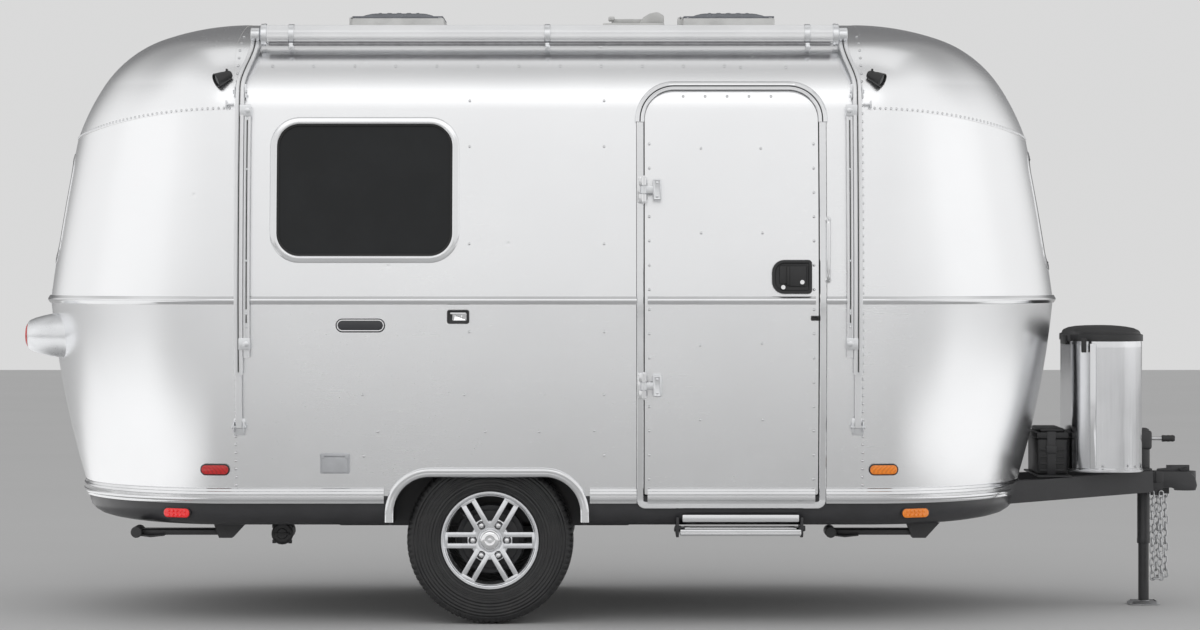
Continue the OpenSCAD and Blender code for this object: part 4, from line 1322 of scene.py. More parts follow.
@dataclass
class Mouldings:
    """Bright strips round the body at the belt and the base, and round the wheel arches."""

    shop: Shop
    belt_section: Pairs = (
        (0.0, 1.371), (0.004, 1.3715), (0.007, 1.3685), (0.0085, 1.3645), (0.0105, 1.3625), (0.0128, 1.358),
        (0.0132, 1.355),
        (0.0128, 1.352), (0.0105, 1.3475), (0.0085, 1.3455), (0.007, 1.3415), (0.004, 1.3385), (0.0, 1.339),
    )
    base_section: Pairs = (
        (0.0, 0.573), (0.006, 0.573), (0.0095, 0.570), (0.010, 0.563), (0.011, 0.5605), (0.015, 0.558), (0.0165, 0.553),
        (0.0165, 0.547),
        (0.014, 0.544), (0.014, 0.536), (0.0165, 0.533), (0.0165, 0.526), (0.015, 0.522), (0.011, 0.519),
        (0.010, 0.513), (0.0085, 0.509), (0.0, 0.508),
    )
    arch_section: Pairs = (
        (0.0, 0.0), (0.0, 0.006), (0.004, 0.011), (0.010, 0.0145), (0.017, 0.0150), (0.020, 0.0138), (0.023, 0.0150),
        (0.030, 0.0145), (0.036, 0.011), (0.040, 0.005), (0.040, 0.0),
    )
    base_reach: Pair = (0.7265, 1.0638)
    door: Pair = (DOOR_X, DOOR_X + DOOR_W)
    frame: float = 0.0285
    door_gap: float = 0.005
    arch: Four = ARCH
    arch_trim: float = 0.040

    @staticmethod
    def loop(a: float, b: float, n: int = 64) -> tuple[Array, Array]:
        """Plan outline with its outward ways, anticlockwise from the middle of the curb side."""
        t = np.radians(np.linspace(-90, 90, n))
        ends = []
        for sign in (1, -1):
            p = np.stack([sign * (BODY.spine + a * np.cos(t)), sign * b * np.sin(t)], 1)
            w = np.stack([sign * np.cos(t) / a, sign * np.sin(t) / b], 1)
            ends.append((p, unit(w)))
        return np.concatenate([ends[0][0], ends[1][0]]), np.concatenate([ends[0][1], ends[1][1]])

    def run(self, name: str, path: Array, ways: Array, section: Loop) -> Obj:
        """A strip along part of a plan outline, closed at both ends."""
        cut = np.array(list(section) + [section[0]])
        k, m = len(path) - 1, len(cut) - 1

        def place(u: Array, v: Array) -> Array:
            i, j = nth(u, k), nth(v, m)
            flat = path[i] + ways[i] * cut[j, 0][:, None]
            return np.stack([flat[:, 0], flat[:, 1], cut[j, 1]], 1)

        return Bench.close_ends(Bench.sheet(name, k, m, place))

    @staticmethod
    def straight(x0: float, x1: float, b: float, side: Side) -> tuple[Array, Array]:
        """A straight stretch of plan outline on one side."""
        return np.array([[x0, side.value * b], [x1, side.value * b]]), np.array([[0, side.value]] * 2, float)

    def chain(self, *runs: tuple[Array, Array]) -> tuple[Array, Array]:
        """Several stretches one after the other."""
        return np.concatenate([r[0] for r in runs]), np.concatenate([r[1] for r in runs])

    def build(self) -> None:
        """Makes the belt strip, the base strip and the arch strips."""
        x0, x1 = self.door[0] - self.frame, self.door[1] + self.frame
        path, ways = self.loop(BODY.belt_a, BODY.belt_b)
        begin = self.straight(x1, x1 + 0.01, BODY.belt_b, Side.CURB)
        close = self.straight(x0 - 0.01, x0, BODY.belt_b, Side.CURB)
        belt = self.run("belt_strip", *self.chain(begin, (path, ways), close), self.belt_section)
        self.shop.dress(belt, Finish.MOULDING, "trim", nodes=["belt_rail"])
        a, b = self.base_reach
        path, ways = self.loop(a, b)
        half = len(path) // 2
        ax, _, aw, _ = self.arch
        r0, r1 = ax - aw / 2 - self.arch_trim - 0.001, ax + aw / 2 + self.arch_trim + 0.001
        front = self.chain(
            self.straight(x1, x1 + 0.01, b, Side.CURB), (path[:half], ways[:half]),
            self.straight(r1 + 0.01, r1, b, Side.ROAD)
        )
        rear = self.chain(
            self.straight(r0, r0 - 0.01, b, Side.ROAD), (path[half:], ways[half:]),
            self.straight(r0 - 0.01, r0, b, Side.CURB)
        )
        middle = self.straight(r1, x0, b, Side.CURB)
        parts = [self.run(f"base_{k}", *r, self.base_section) for k, r in enumerate((front, rear, middle))]
        self.shop.unite("base_strip", parts, Finish.MOULDING, "trim", nodes=["base_rail"])
        g0, g1 = self.door[0] + self.door_gap + 0.012, self.door[1] - self.door_gap - 0.012
        parts = [self.run("door_belt", *self.straight(g0, g1, BODY.belt_b, Side.CURB), self.belt_section)]
        parts.append(self.run("door_base", *self.straight(g0, g1, b, Side.CURB), self.base_section))
        self.shop.unite("door_strips", parts, Finish.MOULDING, "trim", "door")
        self.arches()

    def arches(self) -> None:
        """Round strips over the wheel arches, with their feet on the skirt."""
        x, z, w, h = self.arch
        loop = rounded(w, h + 0.1, ARCH_CORNER, 0.002, 16, (x, z - 0.05))
        line = [p for p in loop if p[1] > 0.46]
        start = max(range(len(line)), key=lambda k: line[k][0] - line[k][1])
        line = line[start:] + line[:start]
        line = [(x + w / 2, 0.430), (x + w / 2, 0.455)] + line + [(x - w / 2, 0.455), (x - w / 2, 0.430)]
        parts = [onto_side(moulded(f"arch_{s.name}", line, self.arch_section, False), s) for s in Side]
        self.shop.unite("arch_strips", parts, Finish.MOULDING, "trim", nodes=["arch_trims"], smooth=50)


def recess(obj: Obj, way: Point, rim: float, depth: float) -> Obj:
    """Insets the face that looks a way, and pushes it in."""
    aim = Vector(way)
    best = max(obj.data.polygons, key=lambda f: f.normal.dot(aim) * f.area)
    middle = best.center.copy()
    Bench.pick(obj, lambda c, n: (c - middle).length < 1e-6)
    bpy.ops.mesh.inset(thickness=rim, depth=-depth)
    Bench.done()
    return obj


def fitting(name: str, x: float, z: float, w: float, h: float, r: float, out: float, edge: float = 0.003) -> Obj:
    """A low rounded block drawn at y = 0 with its front towards -y, for a wall."""
    return Bench.plate(name, rounded(w, h, r, r, 8, (x, z)), -(out + FITTING_SINK), (0, FITTING_SINK, 0), "Y", edge)


@dataclass
class Door:
    """Entry door with its frame, drip rail, hinges, lock and grab handle."""

    shop: Shop
    x: float = DOOR_X
    w: float = DOOR_W
    low: float = DOOR_LOW
    top: float = DOOR_TOP
    corner: float = DOOR_CORNER
    gap: float = 0.005
    thick: float = 0.039
    hinge_y: float = -1.142
    pull_y: float = -1.037
    hinge_zs: Pair = (1.000, 1.815)
    latch_at: Pair = (1.104, 1.281)
    frame_section: Pairs = ((0.0, 0.0), (0.0, 0.0065), (0.002, 0.0085), (0.026, 0.0085), (0.028, 0.0065), (0.028, 0.0))
    drip_section: Pairs = (
        (-0.003, 0.0), (-0.003, 0.013), (0.0, 0.0175), (0.006, 0.0195), (0.011, 0.0175), (0.013, 0.0145),
        (0.016, 0.0145), (0.019, 0.0180),
        (0.026, 0.0200), (0.032, 0.0170), (0.035, 0.0110), (0.035, 0.0),
    )
    # The next three sections are black strips. The first sits deep in the door's gap and is partly its rubber seal,
    # partly painted shade. The other two paint shadow lines along the frame's outer edge and in the drip rail's groove.
    seal_section: Pairs = ((-0.0046, -0.008), (-0.0006, -0.008), (-0.0006, -0.030), (-0.0046, -0.030))
    frame_shadow_section: Pairs = ((0.0272, 0.0), (0.0272, 0.0028), (0.0300, 0.0028), (0.0300, 0.0))
    drip_groove_shade_section: Pairs = ((0.0125, 0.0130), (0.0125, 0.0153), (0.0165, 0.0153), (0.0165, 0.0130))

    def build(self) -> None:
        """Makes the door and what surrounds it."""
        mid, height = self.x + self.w / 2, self.top - self.low
        loop = corners(self.w, height, (self.corner, self.corner, 0.008, 0.008), (mid, self.low + height / 2), 16)
        self.skin(mid)
        frame = onto_side(self.sliced(moulded("door_frame_strip", loop, self.frame_section)), Side.CURB)
        foot = self.top - self.corner + 0.004
        start = next(k for k, p in enumerate(loop) if p[1] > foot + 0.004)
        arc = [(self.x + self.w, foot - 0.012)] + [
            p
            for p in loop[start:] if p[1] > foot + 0.004
        ] + [(self.x, foot - 0.012)]
        drip = onto_side(moulded("door_drip_rail", arc, self.drip_section, False), Side.CURB)
        self.shop.unite(
            "door_surround", [frame, drip, *self.fixed_hinges()], Finish.MOULDING, "trim", nodes=["door_frame"]
        )
        # Black strips that paint shade round the door: in its gap, along the outer edge of its frame and in the drip
        # rail's groove.
        lines = [
            onto_side(self.sliced(moulded("door_rubber_and_shade_lines", loop, s)), Side.CURB)
            for s in (self.seal_section, self.frame_shadow_section)
        ]
        lines.append(onto_side(moulded("drip_groove_shade_strip", arc, self.drip_groove_shade_section, False), Side.CURB))
        self.shop.unite("door_rubber_and_shade_lines", lines, Finish.RUBBER_AND_SHADE, "black_plastic")
        self.leaves()
        self.lock()
        self.handle()

    @staticmethod
    def sliced(obj: Obj) -> Obj:
        """Cuts a strip level every few centimetres, so that it can follow the wall."""
        Bench.hold(obj)
        bpy.ops.object.mode_set(mode="EDIT")
        for z in np.arange(0.58, 2.2, 0.045):
            bpy.ops.mesh.select_all(action="SELECT")
            bpy.ops.mesh.bisect(plane_co=(0, 0, float(z)), plane_no=UP)
        Bench.done()
        return obj

    def skin(self, mid: float) -> None:
        """The door's own skin, cut from the same surface as the wall."""
        low = BODY.sill_z + 0.006
        top = self.top - self.gap
        w = self.w - 2 * self.gap
        door = panel("door_skin", w, top - low, self.corner - self.gap, 0.006, (mid, (low + top) / 2), 0.0, 30, 72)
        onto_side(door, Side.CURB)
        Bench.thicken(door, self.thick)
        self.shop.dress(door, Finish.SKIN, "skin", "door", nodes=["door_panel"], smooth=28)
        self.shop.line(door, lambda face: face.normal.y > 0.5)
        inner = fitting("door_inner_pull", mid + 0.26, 1.30, 0.05, 0.16, 0.014, 0.012)
        inner.data.transform(Matrix.Translation((0, self.pull_y, 0)))
        self.shop.dress(inner, Finish.BLACK, "black_plastic", "door")

    def fixed_hinges(self) -> list[Obj]:
        """Hinge halves on the frame: two knuckles on a backing plate, with a pin."""
        made = []
        x, y = self.x + 0.002, self.hinge_y
        for z in self.hinge_zs:
            wall = BODY.wall_y(z)
            made.append(Bench.block(
                "hinge_back", (self.x - 0.026, wall - 0.016, z - 0.055), (self.x - 0.006, wall + 0.004, z + 0.055),
                0.004
            ))
            for s in (-1, 1):
                made.append(Bench.block(
                    "hinge_arm", (self.x - 0.020, y - 0.007, z + s * 0.035 - 0.016),
                    (x, wall - 0.006, z + s * 0.035 + 0.016), 0.003
                ))
                made.append(Bench.turned(
                    "hinge_knuckle", spool((0, 0.017), (0.011, 0.017), (0.013, 0.015)), (x, y, z + s * 0.035), UP, 24
                ))
                made.append(Bench.turned(
                    "hinge_screw", screw(0.0065, 0.005), (self.x - 0.017, wall - 0.0155, z + s * 0.047), OUT, 16
                ))
            made.append(Bench.turned(
                "hinge_pin", spool((0, 0.058), (0.0055, 0.058), (0.0065, 0.055)), (x, y, z), UP, 16
            ))
        return made

    def leaves(self) -> None:
        """Hinge halves on the door: a barrel, a web and a dished leaf."""
        made = []
        x, y = self.x + 0.002, self.hinge_y
        for z in self.hinge_zs:
            wall = BODY.wall_y(z)
            made.append(Bench.turned(
                "leaf_barrel", spool((0.0075, 0.0165), (0.011, 0.0165), (0.013, 0.015)), (x, y, z), UP, 24
            ))
            made.append(Bench.block(
                "leaf_web", (x + 0.009, y - 0.006, z - 0.0155), (x + 0.044, y + 0.006, z + 0.0155), 0.003
            ))
            leaf = Bench.block(
                "leaf_pad", (x + 0.036, y - 0.010, z - 0.044), (x + 0.072, wall + 0.003, z + 0.044), 0.005, 3
            )
            made.append(recess(leaf, OUT, 0.006, 0.003))
            for s in (-1, 1):
                made.append(Bench.turned(
                    "leaf_screw", screw(0.006, 0.004), (x + 0.054, y - 0.0075, z + s * 0.028), OUT, 16
                ))
        self.shop.unite("door_hinge_leaves", made, Finish.CASTING, "trim", "door", nodes=["door_trim"])

    def lock(self) -> None:
        """Black flush lock with a paddle and two key cylinders, and the small hold latch."""
        x, z = self.x + self.w - 0.116, 1.453
        case = Bench.plate(
            "lock_case", corners(0.166, 0.141, (0.016, 0.052, 0.052, 0.016), (x, z)), -0.021, (0, 0.004, 0), "Y"
        )
        recess(case, OUT, 0.011, 0.0)
        recess(case, OUT, 0.005, 0.006)
        Bench.bevel(case, 0.0022)
        paddle = Bench.block("lock_paddle", (x - 0.012, -0.0185, z - 0.040), (x + 0.060, -0.008, z + 0.046), 0.004, 3)
        grip = Bench.block("lock_grip", (x - 0.052, -0.0160, z - 0.030), (x - 0.018, -0.008, z + 0.046), 0.004, 3)
        bar = Bench.block("lock_bar", (x - 0.022, -0.0215, z - 0.036), (x - 0.010, -0.012, z + 0.044), 0.003)
        parts = [onto_side(p, Side.CURB) for p in (case, paddle, grip, bar)]
        latch = recess(fitting("hold_latch", *self.latch_at, 0.034, 0.020, 0.004, 0.012), OUT, 0.003, 0.002)
        parts.append(onto_side(latch, Side.CURB))
        self.shop.unite("door_lock_case", parts, Finish.BLACK, "black_plastic", "door", nodes=["door_lock"])
        keys = []
        for kx, kz in ((x - 0.037, z - 0.043), (x + 0.042, z - 0.022)):
            wall = BODY.wall_y(kz) - 0.013
            keys.append(Bench.turned(
                "key", [(0.0105, 0), (0.0105, 0.008), (0.009, 0.0105), (0.0055, 0.0105), (0.005, 0.0085), (0, 0.0085)],
                (kx, wall, kz), OUT, 24
            ))
        self.shop.unite("door_key_cylinders", keys, Finish.CHROME, "trim", "door")

    def handle(self) -> None:
        """Grab bar beside the doorway."""
        x, wall = self.x + self.w + 0.034, BODY.belt_b
        line = [
            (x, -wall + 0.02, 1.440), (x, -wall - 0.030, 1.440), (x, -wall - 0.045, 1.452), (x, -wall - 0.046, 1.52),
            (x, -wall - 0.046, 1.61), (x, -wall - 0.045, 1.678), (x, -wall - 0.030, 1.690), (x, -wall + 0.02, 1.690)
        ]
        bar = Bench.tube("grab_tube", line, 0.0080, True, 6)
        feet = [
            Bench.turned(
                "grab_foot", [(0.013, 0), (0.013, 0.010), (0.011, 0.012), (0.008, 0.013)], (x, BODY.wall_y(z), z), OUT,
                24
            )
            for z in (1.440, 1.690)
        ]
        self.shop.unite("grab_bar", [bar, *feet], Finish.MOULDING, "trim", nodes=["grab_handle"])


@dataclass
class Windows:
    """Framed dark windows on both sides and both ends."""

    shop: Shop
    shell: Shell
    frame_section: Pairs = (
        (-0.006, -0.004), (-0.006, 0.006), (-0.003, 0.0095), (0.002, 0.0110), (0.008, 0.0100), (0.012, 0.0085),
        (0.018, 0.0085), (0.022, 0.0065), (0.024, 0.003), (0.024, 0.0),
    )
    seal_section: Pairs = ((-0.014, -0.010), (-0.014, 0.0015), (-0.010, 0.0040), (-0.0062, 0.0040), (-0.0062, -0.010))

    def build(self) -> None:
        """Makes the frames, seals and panes."""
        frames, seals, panes = [], [], []
        s = self.shell
        for spec, side in ((s.window, Side.CURB), (s.window, Side.ROAD), (s.road_window, Side.ROAD)):
            x, z, w, h, r = spec
            loop = self.dense(rounded(w, h, r, r, 14, (x, z)))
            frames.append(onto_side(moulded("frame", loop, self.frame_section), side))
            seals.append(onto_side(moulded("seal", loop, self.seal_section), side))
            panes.append(Bench.thicken(
                onto_side(panel("pane", w - 0.001, h - 0.001, r, r, (x, z), -0.004, 24, 24), side), 0.010
            ))
        for spec, which in ((s.front_window, End.FRONT), (s.rear_window, End.REAR)):
            _, z, w, h, r = spec
            loop = self.dense(rounded(w, h, r, r, 14, (0, z)))
            quarter = Matrix.Rotation(math.pi / 2, 4, "Z")
            for store, section in ((frames, [(d, h * 0.4) for d, h in self.frame_section]), (seals, self.seal_section)):
                strip = moulded("frame", loop, section)
                strip.data.transform(quarter)
                store.append(onto_end(strip, which))
            pane = panel("pane", w - 0.001, h - 0.001, r, r, (0, z), -0.004, 30, 24)
            pane.data.transform(quarter)
            panes.append(Bench.thicken(onto_end(pane, which), 0.010))
        self.shop.unite("window_surrounds", frames, Finish.MOULDING, "trim", nodes=["window_frames"], smooth=50)
        self.shop.unite("window_seals", seals, Finish.RUBBER_AND_SHADE, "black_plastic")
        self.shop.unite("window_panes", panes, Finish.GLASS, "glass", nodes=["window_glass"])

    @staticmethod
    def dense(loop: Loop, step: float = 0.035) -> list[Pair]:
        """An outline with points added along its straight runs."""
        out: list[Pair] = []
        for a, b in zip(loop, list(loop[1:]) + [loop[0]]):
            n = max(1, int(math.dist(a, b) / step))
            out.extend((a[0] + (b[0] - a[0]) * k / n, a[1] + (b[1] - a[1]) * k / n) for k in range(n))
        return out


@dataclass
class Awning:
    """Rolled awning in its cover, on two pairs of nested arms."""

    shop: Shop
    y: float = -0.905
    z: float = 2.471
    r: float = 0.041
    half: float = 1.200
    lean: float = 0.050
    lean_from: float = 2.245
    lean_over: float = 0.19
    slot_z: float = 1.262
    arms: tuple[tuple[str, float, int], ...] = (("front", 1.282, 1), ("rear", -1.288, -1))

    def build(self) -> None:
        """Makes the roll and both arms."""
        self.roll()
        for name, x, s in self.arms:
            self.arm(name, x, s)

    def roll(self) -> None:
        """The cover with its lengthwise ribs, end caps, straps and pull bar."""
        rings = 24

        def place(u: Array, v: Array) -> Array:
            f = 2 * math.pi * v
            ribs = 0.0022 * (np.cos(f * 3 + 0.8) > 0.93) + 0.001 * np.cos(f * 9)
            r = self.r - 0.001 + ribs
            return np.stack([(2 * u - 1) * self.half, self.y + r * np.cos(f), self.z + r * np.sin(f)], 1)

        cover = Bench.sheet("awning_cover", rings, 96, place)
        bar = Bench.block(
            "awning_pull_bar", (-self.half + 0.02, self.y - 0.036, self.z - 0.047),
            (self.half - 0.02, self.y - 0.004, self.z - 0.034), 0.004, 3
        )
        self.shop.dress(cover, Finish.ROLL, "awning", nodes=["awning_roll"], smooth=40)
        # The pull bar's dark finish also paints the shadow line under the roll.
        self.shop.dress(bar, Finish.PULL_BAR_STEEL_AND_SHADE, "awning_metal")
        caps = []
        for s in (-1, 1):
            caps.append(Bench.turned(
                "cap",
                [
                    (0, 0), (0.040, 0), (0.046, 0.003), (0.047, 0.010), (0.045, 0.018), (0.046, 0.024), (0.030, 0.030),
                    (0.014, 0.033), (0.012, 0.060), (0, 0.060)
                ],
                (s * (self.half - 0.012), self.y, self.z), (s, 0, 0), 40
            ))
        for x in (-1.086, -0.010, 1.082):
            caps.append(Bench.turned("strap", spool((0.0425, 0.012), (0.0445, 0.010)), (x, self.y, self.z), ALONG, 40))
            caps.append(Bench.block(
                "buckle", (x - 0.009, self.y - 0.044, self.z - 0.066), (x + 0.009, self.y - 0.028, self.z - 0.036),
                0.003
            ))
            caps.append(Bench.turned(
                "knob", [(0, 0), (0.010, 0), (0.012, 0.003), (0.012, 0.012), (0.008, 0.016), (0, 0.017)],
                (x, self.y - 0.030, self.z - 0.052), (0.25, -1, -0.4), 20
            ))
        self.shop.unite("awning_caps", caps, Finish.CASTING, "awning_metal", smooth=40)

    def channel(self, x: float, u0: float, u1: float, section: Loop, rows: int, lean: float = 0.0) -> Obj:
        """A bar that follows the wall between two steps, from a section of offsets across and outwards."""
        cut = np.array(list(section) + [section[0]])
        m = len(cut) - 1

        def place(u: Array, v: Array) -> Array:
            j = nth(v, m)
            step = u0 + np.rint(u * rows) / rows * (u1 - u0)
            here, out = BODY.at(step, False), BODY.at(step, False, 1.0)
            p = here + (out - here) * cut[j, 1][:, None]
            share = np.clip((p[:, 1] - self.lean_from) / self.lean_over, 0, 1)
            return np.stack([x + cut[j, 0] + lean * share * share * (3 - 2 * share), -p[:, 0], p[:, 1]], 1)

        return Bench.close_ends(Bench.sheet("channel", rows, m, place))

    def arm(self, name: str, x: float, s: int) -> None:
        """One pair of arms with brackets, knuckles and bolts."""
        u = BODY.side_u
        wide = channelled((0.018, 0.018), (0.018, 0.042), (0.016, 0.044), (0.005, 0.044), (0.004, 0.041))
        slim = channelled((0.013, 0.022), (0.013, 0.038), (0.011, 0.040))
        side = channelled((0.013, 0.015), (0.013, 0.038), (0.011, 0.040), (0.005, 0.040), (0.004, 0.037))
        x2 = x - s * 0.033
        parts = [
            self.channel(x, u(1.05), u(2.452), wide, 60, -s * self.lean),
            self.channel(x, u(0.830), u(1.06), slim, 8),
            self.channel(x2, u(1.19), u(2.14), side, 30),
            self.channel(x2, u(1.12), u(1.20), slim, 4),
        ]
        self.shop.unite(
            f"awning_arms_{name}", parts, Finish.ARM, "awning_metal", nodes=[f"awning_arm_{name}"], smooth=40
        )
        iron = []
        for z, h in ((0.806, 0.046), (2.200, 0.046)):
            wall = BODY.wall_y(z + h / 2)
            iron.append(Bench.block(
                "foot", (x - 0.024, wall - 0.006, z - 0.012), (x + 0.024, wall + 0.004, z + h + 0.012), 0.003
            ))
            for e in (-1, 1):
                iron.append(Bench.block(
                    "ear", (x + e * 0.0215 - 0.0025, wall - 0.046, z), (x + e * 0.0215 + 0.0025, wall, z + h), 0.002
                ))
            iron.append(Bench.turned(
                "bolt", spool((0, 0.030), (0.007, 0.030), (0.008, 0.027), (0.006, 0.024)), (x, wall - 0.030, z + h / 2),
                ALONG, 16
            ))
        for z in (1.150, 2.120):
            wall = BODY.wall_y(z + 0.025)
            lo, hi = sorted((x, x2 - s * 0.016))
            iron.append(Bench.block("clamp", (lo, wall - 0.047, z), (hi, wall - 0.016, z + 0.050), 0.004))
            iron.append(Bench.turned(
                "clamp_knob", [(0.012, 0), (0.013, 0.003), (0.012, 0.010), (0.006, 0.013), (0, 0.013)],
                (x2, wall - 0.046, z + 0.025), OUT, 20
            ))
        iron.append(Bench.turned(
            "head", spool((0, 0.019), (0.026, 0.019), (0.030, 0.016)), (x - s * self.lean, self.y, self.z), ALONG, 32
        ))
        for z in (1.245, 1.30, 1.52, 1.90):
            wall = BODY.wall_y(z)
            iron.append(Bench.turned("pin", screw(0.0045, 0.003), (x2, wall - 0.0365, z), OUT, 12))
        wall = BODY.wall_y(2.170)
        iron.append(Bench.block(
            "tee_stem", (x + s * 0.028, wall - 0.020, 2.168), (x + s * 0.056, wall + 0.012, 2.176), 0.002
        ))
        iron.append(Bench.block(
            "tee_head", (x + s * 0.054, wall - 0.022, 2.156), (x + s * 0.061, wall + 0.006, 2.188), 0.002
        ))
        self.shop.unite(f"awning_irons_{name}", iron, Finish.CASTING, "awning_metal", smooth=40)
        # Black strips down the arms' middle grooves, and a black block in the slot of the side arm, paint the shade in
        # them.
        groove = channelled((0.0022, 0.0405), (0.0022, 0.0422))
        groove_shades = [
            self.channel(x, u(1.06), u(2.44), groove, 60, -s * self.lean),
            self.channel(x2, u(1.32), u(2.10), [(a, b - 0.004) for a, b in groove], 30)
        ]
        z = self.slot_z
        wall = BODY.wall_y(z)
        groove_shades.append(Bench.block(
            "slot", (x2 - 0.0025, wall - 0.0385, z), (x2 + 0.0025, wall - 0.035, z + 0.060), 0.001
        ))
        self.shop.unite(f"awning_slots_{name}", groove_shades, Finish.RUBBER_AND_SHADE, "black_plastic")


def onto_corner(obj: Obj, a: float | None = None, b: float | None = None) -> Obj:
    """Lays a fitting drawn at y = 0 on the rounded corner of the curb side, or on an ellipse of given reaches."""
    e, s = BODY.line(True), BODY.line(False)
    for vertex in obj.data.vertices:
        z = vertex.co.z
        reach = (a, b) if a else (float(np.interp(z, e[:, 1], e[:, 0])), float(np.interp(z, s[:, 1], s[:, 0])))
        along = max(0.0, abs(vertex.co.x) - BODY.spine) / reach[0]
        vertex.co.y -= reach[1] * math.sqrt(max(0.0, 1 - along * along))
    return obj


def both(obj: Obj) -> list[Obj]:
    """A piece and its mirror image on the other side."""
    return [obj, Bench.twin(obj, Matrix.Scale(-1, 4, ACROSS), obj.name + "_road")]


@dataclass
class Lamps:
    """Marker, skirt, tail and flood lamps."""

    shop: Shop
    size: Pair = (0.124, 0.048)
    wrap_x: float = 1.392
    wrap_z: float = 0.650
    skirt_z: float = 0.466
    skirt_xs: Pair = (1.530, -1.560)
    skirt_reach: Pair = (0.7105, 1.0495)
    tail: tuple[float, float, float] = (2.262, 0.420, 1.200)
    flood: tuple[float, float, float] = (1.348, -1.002, 2.292)

    def lens(self, x: float, z: float, raised: float) -> tuple[Obj, Obj]:
        """An oval lens with cells in a black rim, drawn flat."""
        w, h = self.size
        rim = Bench.plate(
            "rim", rounded(w, h, h / 2 - 0.001, h / 2 - 0.001, 10, (x, z)), -(raised * 0.55 + 0.010), (0, 0.010, 0),
            "Y", 0.002
        )
        lens = Bench.plate(
            "lens", rounded(w - 0.010, h - 0.010, h / 2 - 0.0062, h / 2 - 0.0062, 10, (x, z)), -raised, HERE, "Y", 0.004
        )
        return rim, lens

    def build(self) -> None:
        """Makes all the lamps."""
        rims = []
        lenses: dict[int, list[Obj]] = {1: [], -1: []}
        skirt_painted_light_lenses: dict[int, list[Obj]] = {1: [], -1: []}
        for sign in (1, -1):
            rim, lens = self.lens(sign * self.wrap_x, self.wrap_z, 0.018)
            rims += both(onto_corner(rim))
            lenses[sign] += both(onto_corner(lens))
            x = self.skirt_xs[0 if sign > 0 else 1]
            rim, lens = self.lens(x, self.skirt_z, 0.016)
            rims += both(onto_corner(rim, *self.skirt_reach))
            skirt_painted_light_lenses[sign] += both(onto_corner(lens, *self.skirt_reach))
            cells = []
            for dx in (-0.036, -0.018, 0.0, 0.018, 0.036):
                for dz in (-0.009, 0.009):
                    cell = Bench.turned(
                        "cell", [(0.0065, 0), (0.006, 0.0012), (0.0035, 0.0022), (0, 0.0026)],
                        (x + dx, -0.0155, self.skirt_z + dz), OUT, 12
                    )
                    cells.append(onto_corner(cell, *self.skirt_reach))
            skirt_painted_light_lenses[sign] += both(Bench.join("cells", cells))
        self.shop.unite("lamp_rims", rims, Finish.BLACK, "black_plastic")
        self.tails(lenses[-1])
        self.shop.unite("amber_lenses", lenses[1], Finish.AMBER, "amber_lens", nodes=["lamps_amber"])
        # The skirt lenses shine with painted light; the red ones more strongly.
        self.shop.unite("red_skirt_lenses", skirt_painted_light_lenses[-1], Finish.RED_BRIGHT, "red_lens")
        self.shop.unite("amber_skirt_lenses", skirt_painted_light_lenses[1], Finish.AMBER, "amber_lens")
        self.floods()

    def tails(self, red: list[Obj]) -> None:
        """Bright cones on the rear end, with a ringed red lens in each."""
        x, y, z = self.tail
        cones, lenses = [], []
        for s in (-1, 1):
            cone = [
                (0.050, 0.004), (0.052, 0.0), (0.056, 0.0), (0.062, 0.004), (0.067, 0.012), (0.0745, 0.030),
                (0.083, 0.060), (0.090, 0.092), (0.096, 0.126), (0.102, 0.165), (0.108, 0.195), (0.116, 0.212)
            ]
            cones.append(Bench.turned("cone", cone, (-x, s * y, z), ALONG, 56))
            dome = [
                (0, -0.0135), (0.018, -0.0130), (0.020, -0.0118), (0.022, -0.0126), (0.036, -0.0105), (0.038, -0.009),
                (0.040, -0.0095), (0.050, -0.004), (0.053, 0.001), (0.053, 0.012), (0, 0.012)
            ]
            lenses.append(Bench.turned("tail_lens", dome, (-x, s * y, z), ALONG, 48))
        self.shop.unite("tail_cones", cones, Finish.CASTING, "lamp_shell", nodes=["tail_lamp_housings"])
        self.shop.unite("red_lenses", red + lenses, Finish.RED, "red_lens", nodes=["lamps_red"])

    def floods(self) -> None:
        """Black flood lamps on short stems beside the awning arms."""
        cans, glass = [], []
        for s in (-1, 1):
            x, y, z = self.flood
            way = Vector((0.82 * s, -0.42, -0.38)).normalized()
            spot = Vector((s * x, y - 0.022, z))
            cans.append(Bench.turned(
                "can",
                [
                    (0, -0.022), (0.014, -0.021), (0.020, -0.012), (0.021, 0.004), (0.0245, 0.018), (0.0285, 0.044),
                    (0.030, 0.050), (0.0285, 0.053), (0.026, 0.052), (0.025, 0.046)
                ],
                spot, way, 32
            ))
            glass.append(Bench.turned(
                "glass", [(0, 0.0475), (0.012, 0.0472), (0.0255, 0.0462), (0.0255, 0.043), (0, 0.043)], spot, way, 28
            ))
            cans.append(Bench.turned(
                "stem", [(0.017, 0.030), (0.017, 0.020), (0.010, 0.014), (0.009, -0.016)], (s * x, y, z), ACROSS, 20
            ))
            cans.append(Bench.block(
                "fin", (s * x - 0.004, y - 0.030, z + 0.014), (s * x + 0.004, y + 0.004, z + 0.030), 0.002
            ))
        self.shop.unite("flood_cans", cans, Finish.BLACK, "black_plastic", nodes=["flood_lamps"])
        self.shop.unite("flood_glass", glass, Finish.GLASS, "lamp_shell")


